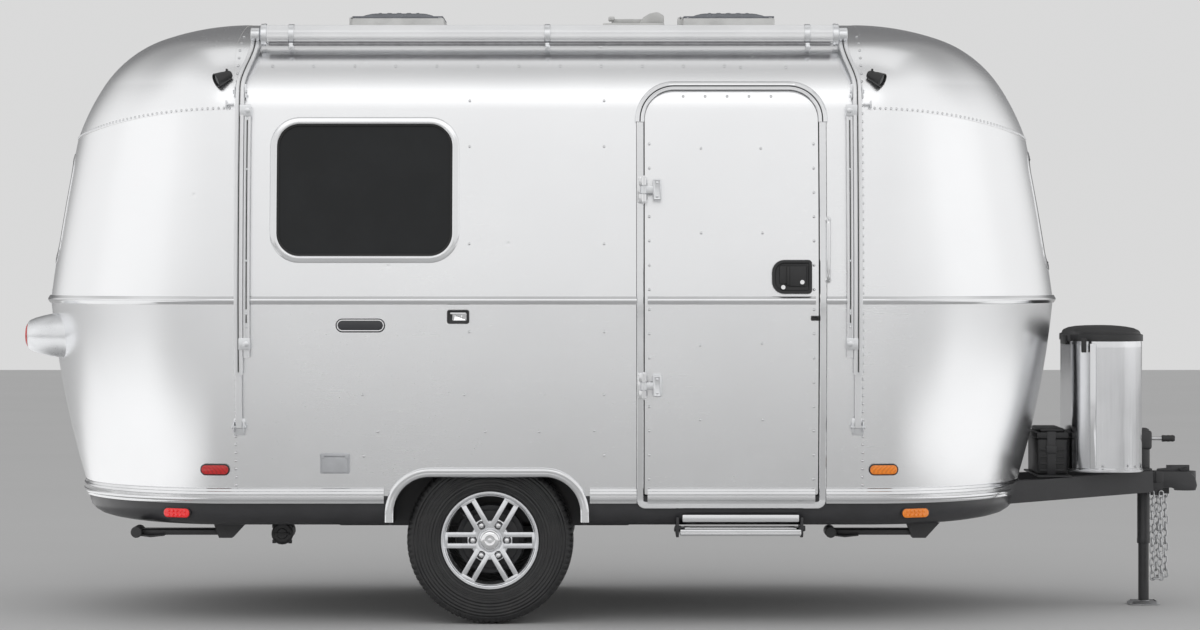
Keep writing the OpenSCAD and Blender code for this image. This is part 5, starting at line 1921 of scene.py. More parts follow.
@dataclass
class Fittings:
    """Hatches, the hold-back catch and the bare nameplate."""

    shop: Shop
    catch_at: Pair = (-0.378, 1.287)
    plate_at: Pair = (-0.784, 1.251)
    outlet_x: float = -0.892

    def build(self) -> None:
        """Makes the wall fittings."""
        self.hatches()
        catch = recess(fitting("catch", *self.catch_at, 0.092, 0.058, 0.010, 0.014), OUT, 0.007, 0.004)
        self.shop.dress(onto_side(catch, Side.CURB), Finish.BLACK, "black_plastic", nodes=["door_catch"])
        insert = [
            fitting("insert", -0.372, 1.287, 0.060, 0.034, 0.006, 0.0135),
            fitting("insert_lip", -0.378, 1.301, 0.066, 0.008, 0.003, 0.016)
        ]
        self.shop.dress(
            onto_side(recess(Bench.join("catch_insert", insert), OUT, 0.006, 0.003), Side.CURB), Finish.CHROME, "trim"
        )
        plate = fitting("plate", *self.plate_at, 0.206, 0.058, 0.0285, 0.0042, 0.0008)
        self.shop.dress(onto_side(plate, Side.CURB), Finish.PLATE, "black_plastic", nodes=["name_plate"])
        edge = moulded(
            "plate_edge", rounded(0.188, 0.040, 0.0198, 0.0198, 14, self.plate_at),
            ((0.0, 0.003), (0.0, 0.0046), (0.0012, 0.0052), (0.0028, 0.0052), (0.004, 0.0046), (0.004, 0.003))
        )
        self.shop.dress(onto_side(edge, Side.CURB), Finish.CHROME, "trim", smooth=50)

    def hatches(self) -> None:
        """Service hatches: a covered outlet on the curb side and framed doors on the road side."""
        parts = []
        outlet = fitting("outlet", self.outlet_x, 0.676, 0.124, 0.084, 0.006, 0.008, 0.002)
        lid = fitting("outlet_lid", self.outlet_x, 0.671, 0.108, 0.066, 0.005, 0.013, 0.003)
        lip = fitting("outlet_lip", self.outlet_x, 0.711, 0.118, 0.010, 0.003, 0.014, 0.002)
        hinges = [fitting("outlet_hinge", x, 0.704, 0.014, 0.012, 0.003, 0.0155, 0.002) for x in (-0.942, -0.842)]
        parts += [onto_side(p, Side.CURB) for p in (outlet, lid, lip, *hinges)]
        for x, z, w, h, r in (
            (0.420, 0.900, 0.420, 0.340, 0.020), (-0.960, 0.960, 0.560, 0.400, 0.030),
            (-0.940, 0.680, 0.120, 0.110, 0.014)
        ):
            loop = Windows.dense(rounded(w - 0.04, h - 0.04, r, r, 8, (x, z)))
            parts.append(onto_side(
                moulded(
                    "hatch_frame", loop,
                    ((0.0, 0.0), (0.0, 0.007), (0.003, 0.009), (0.016, 0.009), (0.019, 0.007), (0.020, 0.0))
                ),
                Side.ROAD
            ))
            parts.append(Bench.thicken(
                onto_side(panel("hatch_door", w - 0.046, h - 0.046, r, r, (x, z), 0.006, 12, 12), Side.ROAD), 0.006
            ))
            for dx in (-0.36, 0.36) if w > 0.2 else (0.3,):
                latch = fitting(
                    "hatch_latch", x + dx * w, z - h * 0.34 if w > 0.2 else z, 0.024, 0.034, 0.006, 0.012, 0.002
                )
                parts.append(onto_side(latch, Side.ROAD))
        self.shop.unite("hatch_covers", parts, Finish.HATCH, "hatch", nodes=["service_hatches"])
        slats = []
        for k in range(9):
            slat = Bench.block("slat", (-1.17, -0.012, 0.835 + k * 0.030), (-0.75, -0.004, 0.850 + k * 0.030), 0.002)
            slats.append(onto_side(slat, Side.ROAD))
        self.shop.unite("fridge_grille", slats, Finish.HATCH, "hatch")


@dataclass
class Roof:
    """Two vents with lids that lift, and the low aerial."""

    shop: Shop
    vents: tuple[tuple[str, float], ...] = (("rear", VENT_XS[0]), ("front", VENT_XS[1]))
    half: float = 0.200
    crown: float = BODY.roof_z
    opening: float = 0.160
    pin_rise: float = 0.034

    def build(self) -> None:
        """Makes the vents and the aerial."""
        bases = []
        for name, x in self.vents:
            bases += self.base(x)
            self.lid(name, x)
        self.shop.unite("vent_frames", bases, Finish.WHITE, "vent", nodes=["roof_vent_bases"])
        self.aerial()

    def base(self, x: float) -> list[Obj]:
        """A flanged frame with its hinge posts."""
        h, z = self.half, self.crown
        made = []
        o = self.opening
        bars = (
            ((x - h, -h), (x + h, -o)),
            ((x - h, o), (x + h, h)),
            ((x - h, -o - 0.002), (x - o, o + 0.002)),
            ((x + o, -o - 0.002), (x + h, o + 0.002)),
        )
        for lo, hi in bars:
            made.append(Bench.block("frame", (*lo, z - 0.030), (*hi, z + 0.026), 0.004))
        for y in (-0.052, 0.052):
            made.append(Bench.block(
                "post", (x - h - 0.022, y - 0.010, z - 0.010), (x - h + 0.004, y + 0.010, z + 0.038), 0.003
            ))
        made.append(Bench.turned(
            "pin", spool((0, 0.062), (0.004, 0.062)), (x - h - 0.010, 0, z + self.pin_rise), ACROSS, 12
        ))
        return made

    def lid(self, name: str, x: float) -> None:
        """A domed lid with pressed ribs, a rim and a hinge tongue."""
        h, z = self.half - 0.004, self.crown + 0.0285

        def place(u: Array, v: Array) -> Array:
            a, b = 2 * u - 1, 2 * v - 1
            far = np.maximum(np.abs(a), np.abs(b))
            lift = 0.026 * (1 - np.clip((far - 0.50) / 0.42, 0, 1) ** 1.6)
            ribs = 0.0025 * (np.cos(a * 9.5 * math.pi) > 0.2) * (far < 0.56)
            return np.stack([x + h * a, h * b, z + lift + ribs - 0.002], 1)

        cap = Bench.thicken(Bench.sheet("cap", 64, 48, place, (x, 0, 1.0)), 0.003)
        rim = [
            Bench.block("rim", (x - h, s * h - 0.004, z - 0.0005), (x + h, s * h + 0.002, z + 0.006), 0.002)
            for s in (-1, 1)
        ]
        rim += [
            Bench.block("rim", (x + s * h - 0.004, -h, z - 0.0005), (x + s * h + 0.002, h, z + 0.006), 0.002)
            for s in (-1, 1)
        ]
        tongue = Bench.block(
            "tongue", (x - self.half - 0.010, -0.041, z + 0.001), (x - h + 0.014, 0.041, z + 0.012), 0.002
        )
        barrel = Bench.turned(
            "barrel", spool((0.0048, 0.041), (0.008, 0.041)), (x - self.half - 0.010, 0, self.crown + self.pin_rise),
            ACROSS, 16
        )
        self.shop.unite(
            f"vent_cap_{name}", [cap, *rim, tongue, barrel], Finish.SMOKE, "vent", f"roof_vent_{name}",
            nodes=[f"vent_lid_{name}"]
        )

    def aerial(self) -> None:
        """A low wing aerial folded on its foot."""
        z = self.crown
        foot = Bench.block("foot", (0.224, -0.078, z - 0.020), (0.496, 0.078, z + 0.012), 0.006, 3)
        head = Bench.plate(
            "head",
            [
                (0.384, z + 0.012), (0.494, z + 0.012), (0.494, z + 0.048), (0.464, z + 0.064), (0.430, z + 0.056),
                (0.402, z + 0.039)
            ],
            0.080, (0, -0.040, 0), "Y", 0.006
        )
        wing = Bench.block("wing", (0.248, -0.058, z + 0.026), (0.276, 0.058, z + 0.042), 0.006, 3)
        mast = Bench.block("mast", (0.262, -0.008, z + 0.014), (0.400, 0.008, z + 0.034), 0.004)
        self.shop.unite("roof_wing_aerial", [foot, head, wing, mast], Finish.WHITE, "vent", nodes=["roof_aerial"])


@dataclass
class Tongue:
    """What stands on the A-frame: gas cover, battery box, jack, coupler and chains."""

    shop: Shop
    gas: Pair = (2.276, 2.588)
    gas_low: float = 0.602
    gas_top: float = 1.172
    gas_half: float = 0.325
    jack_x: float = 2.622
    coupler_x: float = 2.854
    gas_corner: float = 0.138
    battery: Pair = (2.122, 2.270)
    battery_low: float = 0.5765
    links: int = 13
    link_pitch: float = 0.0297
    chain_top: float = 0.4873
    link_drop: float = 0.0112
    socket: Pairs = (
        (0.200, 0.518), (0.115, 0.518), (0.085, 0.506), (0.010, 0.506), (0.001, 0.526), (0.010, 0.566), (0.036, 0.590),
        (0.110, 0.590), (0.200, 0.588)
    )
    latch: Pairs = (
        (0.176, 0.586), (0.170, 0.600), (0.120, 0.604), (0.100, 0.615), (0.040, 0.613), (0.030, 0.600), (0.048, 0.604),
        (0.066, 0.596), (0.060, 0.586)
    )

    def build(self) -> None:
        """Makes the tongue's pieces."""
        for node in ("chassis_curb", "chassis_road", "coupler", "floor_deck", "wheel_tubs", "axle"):
            self.shop.repaint(node, Finish.FLOOR if node == "floor_deck" else Finish.FRAME)
        self.cover()
        self.lid()
        self.box()
        self.jack()
        self.chains()
        self.hitch()

    def outline(self, grow: float) -> list[Pair]:
        """Plan of the gas cover, grown all round."""
        mid = (self.gas[0] + self.gas[1]) / 2
        r = self.gas_corner + grow
        return rounded(self.gas[1] - self.gas[0] + 2 * grow, 2 * self.gas_half + 2 * grow, r, r, 12, (mid, 0))

    def cover(self) -> None:
        """Polished wrap with rolled edges, a lap seam and a foot flange."""
        loop = np.array(Windows.dense(self.outline(0.0), 0.05))
        loop = np.concatenate([loop, loop[:1]])
        low, top = self.gas_low, self.gas_top
        ladder = [
            (0.004, low), (0.004, low + 0.010), (0.0, low + 0.014),
            *[(0.0, z) for z in np.linspace(low + 0.03, top - 0.03, 12)], (0.0, top - 0.014), (-0.002, top - 0.006),
            (-0.002, top)
        ]
        mid = np.array([(self.gas[0] + self.gas[1]) / 2, 0])
        k, m = len(loop) - 1, len(ladder) - 1
        steps = np.array(ladder)

        def place(u: Array, v: Array) -> Array:
            i, j = nth(u, k), nth(v, m)
            flat = loop[i] + unit(loop[i] - mid) * steps[j, 0][:, None]
            return np.stack([flat[:, 0], flat[:, 1], steps[j, 1]], 1)

        wrap = Bench.sheet("wrap", k, m, place, (mid[0], 0, 0.9))
        Bench.thicken(wrap, 0.004)
        seams = [
            Bench.block(
                "lap", (self.gas[0] + 0.068, s * self.gas_half - 0.003, low + 0.012),
                (self.gas[0] + 0.094, s * self.gas_half + 0.003, top - 0.012), 0.0025
            )
            for s in (-1, 1)
        ]
        self.shop.unite("gas_cover_wrap", [wrap, *seams], Finish.COVER, "gas_cover", nodes=["gas_cover"])
        tray = Bench.plate("tray", self.outline(0.006), 0.010, (0, 0, low - 0.004), "Z", 0.002)
        studs = [
            Bench.turned(
                "stud", [(0.006, 0), (0.006, 0.003), (0.004, 0.006), (0, 0.006)],
                (x, s * (self.gas_half + 0.001), low + 0.024), (0, s, 0), 12
            )
            for x in (2.40, 2.54)
            for s in (-1, 1)
        ]
        self.shop.unite("gas_cover_tray", [tray, *studs], Finish.STEEL, "gas_cover")

    def lid(self) -> None:
        """Black domed lid over a deep lip, and two clasps."""
        z = self.gas_top
        loop = np.array(Windows.dense(self.outline(0.005), 0.05))
        loop = np.concatenate([loop, loop[:1]])
        mid = np.array([(self.gas[0] + self.gas[1]) / 2, 0])
        ladder = [
            (0.97, -0.002), (1.0, -0.002), (1.0, 0.022), (0.994, 0.026), (0.955, 0.028), (0.94, 0.031), (0.93, 0.038),
            (0.89, 0.045), (0.78, 0.054), (0.60, 0.060), (0.38, 0.063), (0.18, 0.0645), (0.01, 0.065)
        ]
        k, m = len(loop) - 1, len(ladder) - 1
        steps = np.array(ladder)

        def place(u: Array, v: Array) -> Array:
            i, j = nth(u, k), nth(v, m)
            flat = mid + (loop[i] - mid) * steps[j, 0][:, None]
            return np.stack([flat[:, 0], flat[:, 1], z + steps[j, 1]], 1)

        made = [Bench.sheet("dome", k, m, place, (mid[0], 0, z))]
        Bench.thicken(made[0], 0.003)
        for s in (-1, 1):
            made.append(Bench.block(
                "clasp", (self.gas[0] + 0.030, s * (self.gas_half + 0.004) - 0.008, z - 0.050),
                (self.gas[0] + 0.052, s * (self.gas_half + 0.004) + 0.008, z + 0.012), 0.004
            ))
        made.append(Bench.block(
            "back_hinge", (self.gas[0] - 0.012, -0.10, z - 0.02), (self.gas[0] + 0.002, 0.10, z + 0.022), 0.004
        ))
        self.shop.unite("gas_cover_cap", made, Finish.BLACK, "black_plastic", nodes=["gas_cover_lid"])

    def box(self) -> None:
        """Ribbed battery box with a stepped lid and its strap."""
        x0, x1 = self.battery
        low = self.battery_low
        made = [Bench.block("tray", (x0, -0.290, low), (x1, 0.290, low + 0.008), 0.002)]
        body = Bench.block("case", (x0 + 0.008, -0.190, low + 0.007), (x1 - 0.006, 0.190, low + 0.166), 0.010, 3)
        made.append(body)
        made += [
            Bench.block(
                "rib", (x0 + 0.02, s * 0.192 - 0.003, low + 0.02 + k * 0.03),
                (x1 - 0.02, s * 0.192 + 0.003, low + 0.03 + k * 0.03), 0.002
            )
            for k in range(4)
            for s in (-1, 1)
        ]
        made.append(Bench.block("lid", (x0 + 0.004, -0.196, low + 0.164), (x1 - 0.002, 0.196, low + 0.192), 0.006, 3))
        made.append(Bench.block("crown", (x0 + 0.020, -0.170, low + 0.188), (x1 - 0.018, 0.170, low + 0.210), 0.010, 3))
        self.shop.unite("battery_case", made, Finish.BLACK, "black_plastic", nodes=["battery_box"])
        strap = [
            Bench.block(
                "strap", (x0 + 0.050, s * 0.198 - 0.002, low + 0.006), (x0 + 0.088, s * 0.198 + 0.002, low + 0.196),
                0.001
            )
            for s in (-1, 1)
        ]
        strap.append(Bench.block("buckle", (x0 + 0.046, -0.206, low + 0.100), (x0 + 0.092, -0.198, low + 0.135), 0.003))
        self.shop.unite("battery_strap", strap, Finish.FRAME, "frame_paint")

    def jack(self) -> None:
        """Tongue jack: outer tube with its head and crank, and the sliding leg with a dished foot."""
        x = self.jack_x
        tube = Bench.turned(
            "tube",
            [
                (0.0245, 0.270), (0.0280, 0.270), (0.0290, 0.274), (0.0290, 0.290), (0.0280, 0.294), (0.0280, 0.690),
                (0, 0.690)
            ],
            (x, 0, 0), UP, 40
        )
        head = Bench.block("head", (x - 0.034, -0.034, 0.686), (x + 0.034, 0.034, 0.770), 0.012, 3)
        cap = Bench.turned("cap", [(0.026, 0.768), (0.024, 0.775), (0.012, 0.781), (0, 0.782)], (x, 0, 0), UP, 28)
        collar = Bench.turned(
            "collar", [(0.028, 0.575), (0.044, 0.577), (0.046, 0.583), (0.046, 0.592), (0.028, 0.596)], (x, 0, 0), UP,
            36
        )
        bolts = [
            Bench.turned(
                "bolt", [(0.007, 0), (0.007, 0.005), (0.005, 0.007), (0, 0.007)],
                (x + 0.037 * math.cos(f), 0.037 * math.sin(f), 0.593), UP, 6
            )
            for f in (0.6, 2.7, 4.8)
        ]
        self.shop.unite(
            "jack_tube", [tube, head, cap, collar, *bolts], Finish.FRAME, "frame_paint", nodes=["jack_post"]
        )
        crank = Bench.tube(
            "crank_rod", [(x + 0.030, 0, 0.734), (x + 0.060, 0, 0.734), (x + 0.086, 0, 0.734)], 0.0085, False, 4
        )
        grip = Bench.turned(
            "grip",
            [
                (0.010, 0), (0.0145, 0.002), (0.0150, 0.010), (0.0138, 0.020), (0.0150, 0.030), (0.0138, 0.040),
                (0.0150, 0.050), (0.012, 0.058), (0, 0.060)
            ],
            (x + 0.080, 0, 0.734), ALONG, 24
        )
        self.shop.dress(grip, Finish.BLACK, "black_plastic")
        self.shop.dress(crank, Finish.STEEL, "trim")
        leg = Bench.turned(
            "jack_inner_leg", [(0.0, 0.014), (0.0234, 0.014), (0.0234, 0.418), (0.019, 0.420)], (x, 0, 0), UP, 36
        )
        foot = Bench.plate("foot", rounded(0.132, 0.132, 0.018, 0.018, 6, (x, 0)), 0.006, HERE, "Z", 0.0015)
        Bench.pick(foot, lambda c, n: n.z > 0.9)
        bpy.ops.mesh.inset(thickness=0.014, depth=0.005)
        bpy.ops.mesh.inset(thickness=0.018, depth=0.004)
        Bench.done()
        collar = Bench.turned(
            "foot_collar", [(0.0230, 0.008), (0.0252, 0.010), (0.0252, 0.016), (0.0230, 0.018)], (x, 0, 0), UP, 32
        )
        self.shop.dress(leg, Finish.FRAME, "frame_paint", "jack")
        self.shop.unite("jack_foot", [foot, collar], Finish.STEEL, "trim", "jack", nodes=["jack_leg"])

    def chains(self) -> None:
        """Two chains of welded oval links, each hung in a narrow loop."""
        ring = Bench.tube("link", [self.oval(k) for k in range(17)], 0.0036, False, 2)
        links = []
        for cx, cy in ((self.jack_x + 0.046, -0.086), (self.jack_x + 0.090, 0.086)):
            for s in (-1, 1):
                for k in range(self.links):
                    sway = s * 0.0185 + 0.0025 * math.sin(k * 1.7 + s)
                    roll = (math.pi / 2 if k % 2 == 0 else 0.0) + 0.14 * math.sin(k * 2.3)
                    turn = Matrix.Rotation(math.pi / 2, 4, "Y") @ Matrix.Rotation(roll, 4, "X")
                    spot = Matrix.Translation((cx + sway, cy, self.chain_top - k * self.link_pitch))
                    links.append(Bench.twin(ring, spot @ turn, "link"))
            bottom = self.chain_top - (self.links - 1) * self.link_pitch - self.link_drop
            links.append(Bench.twin(ring, Matrix.Translation((cx, cy, bottom)), "link"))
        bpy.data.objects.remove(ring)
        self.shop.unite("safety_chain_links", links, Finish.STEEL, "chain", nodes=["safety_chains"], smooth=60)

    @staticmethod
    def oval(k: int) -> Point:
        """Point k of 16 on a link's centre line."""
        f = 2 * math.pi * k / 16
        c, s = math.cos(f), math.sin(f)
        return ((0.0090 if c > 0.01 else -0.0090 if c < -0.01 else 0.0) + 0.0094 * c, 0.0094 * s, 0.0)

    def hitch(self) -> None:
        """Socket, latch with its pin, and sleeve on the coupler."""
        x = self.coupler_x
        made = [
            Bench.plate("socket", [(x - dx, z) for dx, z in self.socket], 0.119, (0, -0.0595, 0), "Y", 0.008),
            Bench.plate("latch", [(x - dx, z) for dx, z in self.latch], 0.032, (0, -0.016, 0), "Y", 0.004),
            Bench.turned("latch_pin", spool((0, 0.022), (0.006, 0.022)), (x - 0.070, 0, 0.600), ACROSS, 14),
            Bench.block("sleeve", (x - 0.190, -0.0610, 0.517), (x - 0.150, 0.0610, 0.590), 0.006, 3),
        ]
        self.shop.unite("coupler_latch", made, Finish.FRAME, "frame_paint")


@dataclass
class Wheels:
    """Tyres with moulded treads on six-pair alloy wheels."""

    shop: Shop
    x: float = -0.250
    track: float = 0.898
    tyre_r: float = 0.350
    rim_r: float = 0.206
    pairs: int = 6
    tread_pitch: int = 84
    notch: float = 0.0046
    nut_circle: float = 0.072

    def build(self) -> None:
        """Makes both wheels."""
        for name, s in (("curb", -1), ("road", 1)):
            body = f"wheel_{name}"
            self.tyre(name, s, body)
            self.rim(name, s, body)

    def put(self, obj: Obj, s: int) -> Obj:
        """Turns a piece drawn round +z, with its outer face up, onto its hub."""
        obj.data.transform(Matrix.Rotation(math.pi / 2 * (1 if s < 0 else -1), 4, "X"))
        obj.data.transform(Matrix.Translation((self.x, s * self.track, self.tyre_r)))
        return obj

    def tyre(self, name: str, s: int, body: str) -> None:
        """A tyre: bead, ringed sidewall, shoulder lugs and grooved tread."""
        r, rim = self.tyre_r, self.rim_r
        half = [
            (rim - 0.008, 0.072), (rim - 0.002, 0.084), (rim + 0.006, 0.093), (rim + 0.010, 0.0955),
            (rim + 0.013, 0.0945), (rim + 0.016, 0.0975), (rim + 0.030, 0.106),
            (rim + 0.046, 0.1105), (rim + 0.049, 0.1118), (rim + 0.053, 0.1118), (rim + 0.056, 0.1112),
            (rim + 0.074, 0.1118), (rim + 0.090, 0.1106), (rim + 0.093, 0.1114),
            (rim + 0.097, 0.1106), (rim + 0.103, 0.1085), (r - 0.030, 0.1055), (r - 0.022, 0.102), (r - 0.014, 0.0975),
            (r - 0.007, 0.090), (r - 0.004, 0.080), (r - 0.0032, 0.072),
        ]
        crown = [
            (r - 0.0025, 0.058), (r - 0.010, 0.056), (r - 0.010, 0.049), (r - 0.0015, 0.047), (r - 0.0005, 0.026),
            (r - 0.010, 0.024), (r - 0.010, 0.016), (r - 0.0002, 0.014)
        ]
        top = half + crown
        profile = np.array([(a, b) for a, b in top] + [(r, 0.0)] + [(a, -b) for a, b in reversed(top)])
        lug = np.interp(profile[:, 0], [r - 0.032, r - 0.020, r - 0.006, r], [0, 0.8, 1.0, 1.0])
        lug[np.abs(profile[:, 1]) < 0.045] = 0.35
        k, m = self.tread_pitch * 4, len(profile) - 1

        def place(u: Array, v: Array) -> Array:
            i, j = nth(u, k), nth(v, m)
            skew = np.where(profile[j, 1] > 0, 0, 2)
            notch = ((i + skew) % 4 == 0) * self.notch * lug[j]
            f = 2 * math.pi * (i % k) / k
            rr = profile[j, 0] - notch
            return np.stack([rr * np.cos(f), rr * np.sin(f), profile[j, 1]], 1)

        tyre = self.put(Bench.sheet(f"tyre_tread_{name}", k, m, place), s)
        self.shop.dress(tyre, Finish.TYRE, "tyre", body, nodes=[f"tyre_{name}"], smooth=32)

    def rim(self, name: str, s: int, body: str) -> None:
        """An alloy wheel: barrel, lip, paired spokes, hub, nuts and cap."""
        r = self.rim_r
        barrel = [
            (r - 0.022, -0.084), (r - 0.0086, -0.084), (r - 0.0086, 0.070), (r - 0.001, 0.083), (r, 0.090),
            (r - 0.002, 0.0925), (r - 0.009, 0.0925), (r - 0.0105, 0.0905), (r - 0.014, 0.0895), (r - 0.0155, 0.0865),
            (r - 0.020, 0.083), (r - 0.024, 0.060), (r - 0.026, 0.020), (r - 0.022, -0.060)
        ]
        parts = [self.put(Bench.turned("barrel", barrel + [barrel[0]], HERE, UP, 96), s)]
        for k in range(self.pairs):
            turn = Matrix.Rotation(2 * math.pi * k / self.pairs, 4, "Z")
            for e in (-1, 1):
                bar = Bench.block(
                    "spoke", (0.058, e * 0.0235 - 0.0105, 0.048), (r - 0.018, e * 0.0235 + 0.0105, 0.0835), 0
                )
                for vertex in bar.data.vertices:
                    if vertex.co.x > 0.1 and vertex.co.z < 0.06:
                        vertex.co.z += 0.010
                    if vertex.co.x < 0.1 and vertex.co.z > 0.06:
                        vertex.co.z += 0.0035
                    if vertex.co.z < 0.065:
                        vertex.co.y += -e * 0.002
                Bench.bevel(bar, 0.0028, 2)
                bar.data.transform(turn)
                parts.append(self.put(bar, s))
            web = Bench.block("spoke_root", (0.045, -0.024, 0.048), (0.094, 0.024, 0.0815), 0.004)
            web.data.transform(turn)
            parts.append(self.put(web, s))
            toe = Bench.block("spoke_toe", (r - 0.030, -0.030, 0.062), (r - 0.0115, 0.030, 0.0845), 0.003)
            toe.data.transform(turn)
            parts.append(self.put(toe, s))
        hub = [
            (0.0178, -0.058), (0.062, -0.058), (0.062, 0.046), (0.074, 0.050), (0.082, 0.060), (0.084, 0.076),
            (0.080, 0.082), (0.060, 0.0835), (0.050, 0.0815), (0.047, 0.078), (0.0178, 0.078)
        ]
        parts.append(self.put(Bench.turned("hub", hub + [hub[0]], HERE, UP, 60), s))
        wheel = Bench.join(f"wheel_face_{name}", parts)
        self.shop.dress(wheel, Finish.ALLOY, "alloy", body, nodes=[f"rim_{name}"], smooth=40)
        self.bright(name, s, body)
        # The brake drum is a real part. Its near-black paint also paints the shade behind the spokes.
        drum = [
            (0.030, -0.060), (0.140, -0.060), (0.146, -0.054), (0.148, -0.010), (0.142, 0.004), (0.126, 0.008),
            (0.120, 0.014), (0.064, 0.016), (0.064, 0.0), (0.030, 0.0)
        ]
        self.shop.dress(
            self.put(Bench.turned(f"brake_drum_{name}", drum + [drum[0]], HERE, UP, 56), s), Finish.FRAME, "alloy", body
        )

    def bright(self, name: str, s: int, body: str) -> None:
        """Chrome nuts on black rings that paint the shade of their sockets, the ringed centre cap and the valve."""
        parts, rings_of_shade = [], []
        for k in range(self.pairs):
            f = 2 * math.pi * k / self.pairs
            spot = (self.nut_circle * math.cos(f), self.nut_circle * math.sin(f), 0.081)
            nut = Bench.turned(
                "nut", [(0.013, 0), (0.0135, 0.002), (0.0115, 0.004), (0.0112, 0.014), (0.0085, 0.0185), (0, 0.020)],
                spot, UP, 6
            )
            parts.append(self.put(Bench.bevel(nut, 0.001), s))
            # A black ring round the foot of each nut paints the shade of its socket.
            shade_ring = Bench.turned(
                "shade_ring", [(0.0125, -0.002), (0.0180, -0.001), (0.0180, 0.0030), (0.0125, 0.0030), (0.0125, -0.002)],
                spot, UP, 24
            )
            rings_of_shade.append(self.put(shade_ring, s))
        self.shop.unite(f"wheel_nut_seats_{name}", rings_of_shade, Finish.FRAME, "alloy", body)
        cap = [
            (0.046, 0.078), (0.046, 0.086), (0.043, 0.090), (0.040, 0.0905), (0.038, 0.096), (0.034, 0.0995),
            (0.022, 0.101), (0.0205, 0.0995), (0.018, 0.0985), (0.006, 0.100), (0, 0.1003)
        ]
        parts.append(self.put(Bench.turned("cap", cap, HERE, UP, 48), s))
        self.shop.unite(f"wheel_bright_{name}", parts, Finish.CHROME, "alloy", body, smooth=40)
        valve = Bench.turned(
            f"valve_{name}",
            [(0.0045, 0), (0.0045, 0.016), (0.0055, 0.017), (0.0055, 0.026), (0.004, 0.028), (0, 0.028)],
            (0.165 * math.cos(2.4), 0.165 * math.sin(2.4), 0.056), (0.5, -0.4, 0.75), 14
        )
        self.shop.dress(self.put(valve, s), Finish.BLACK, "tyre", body)


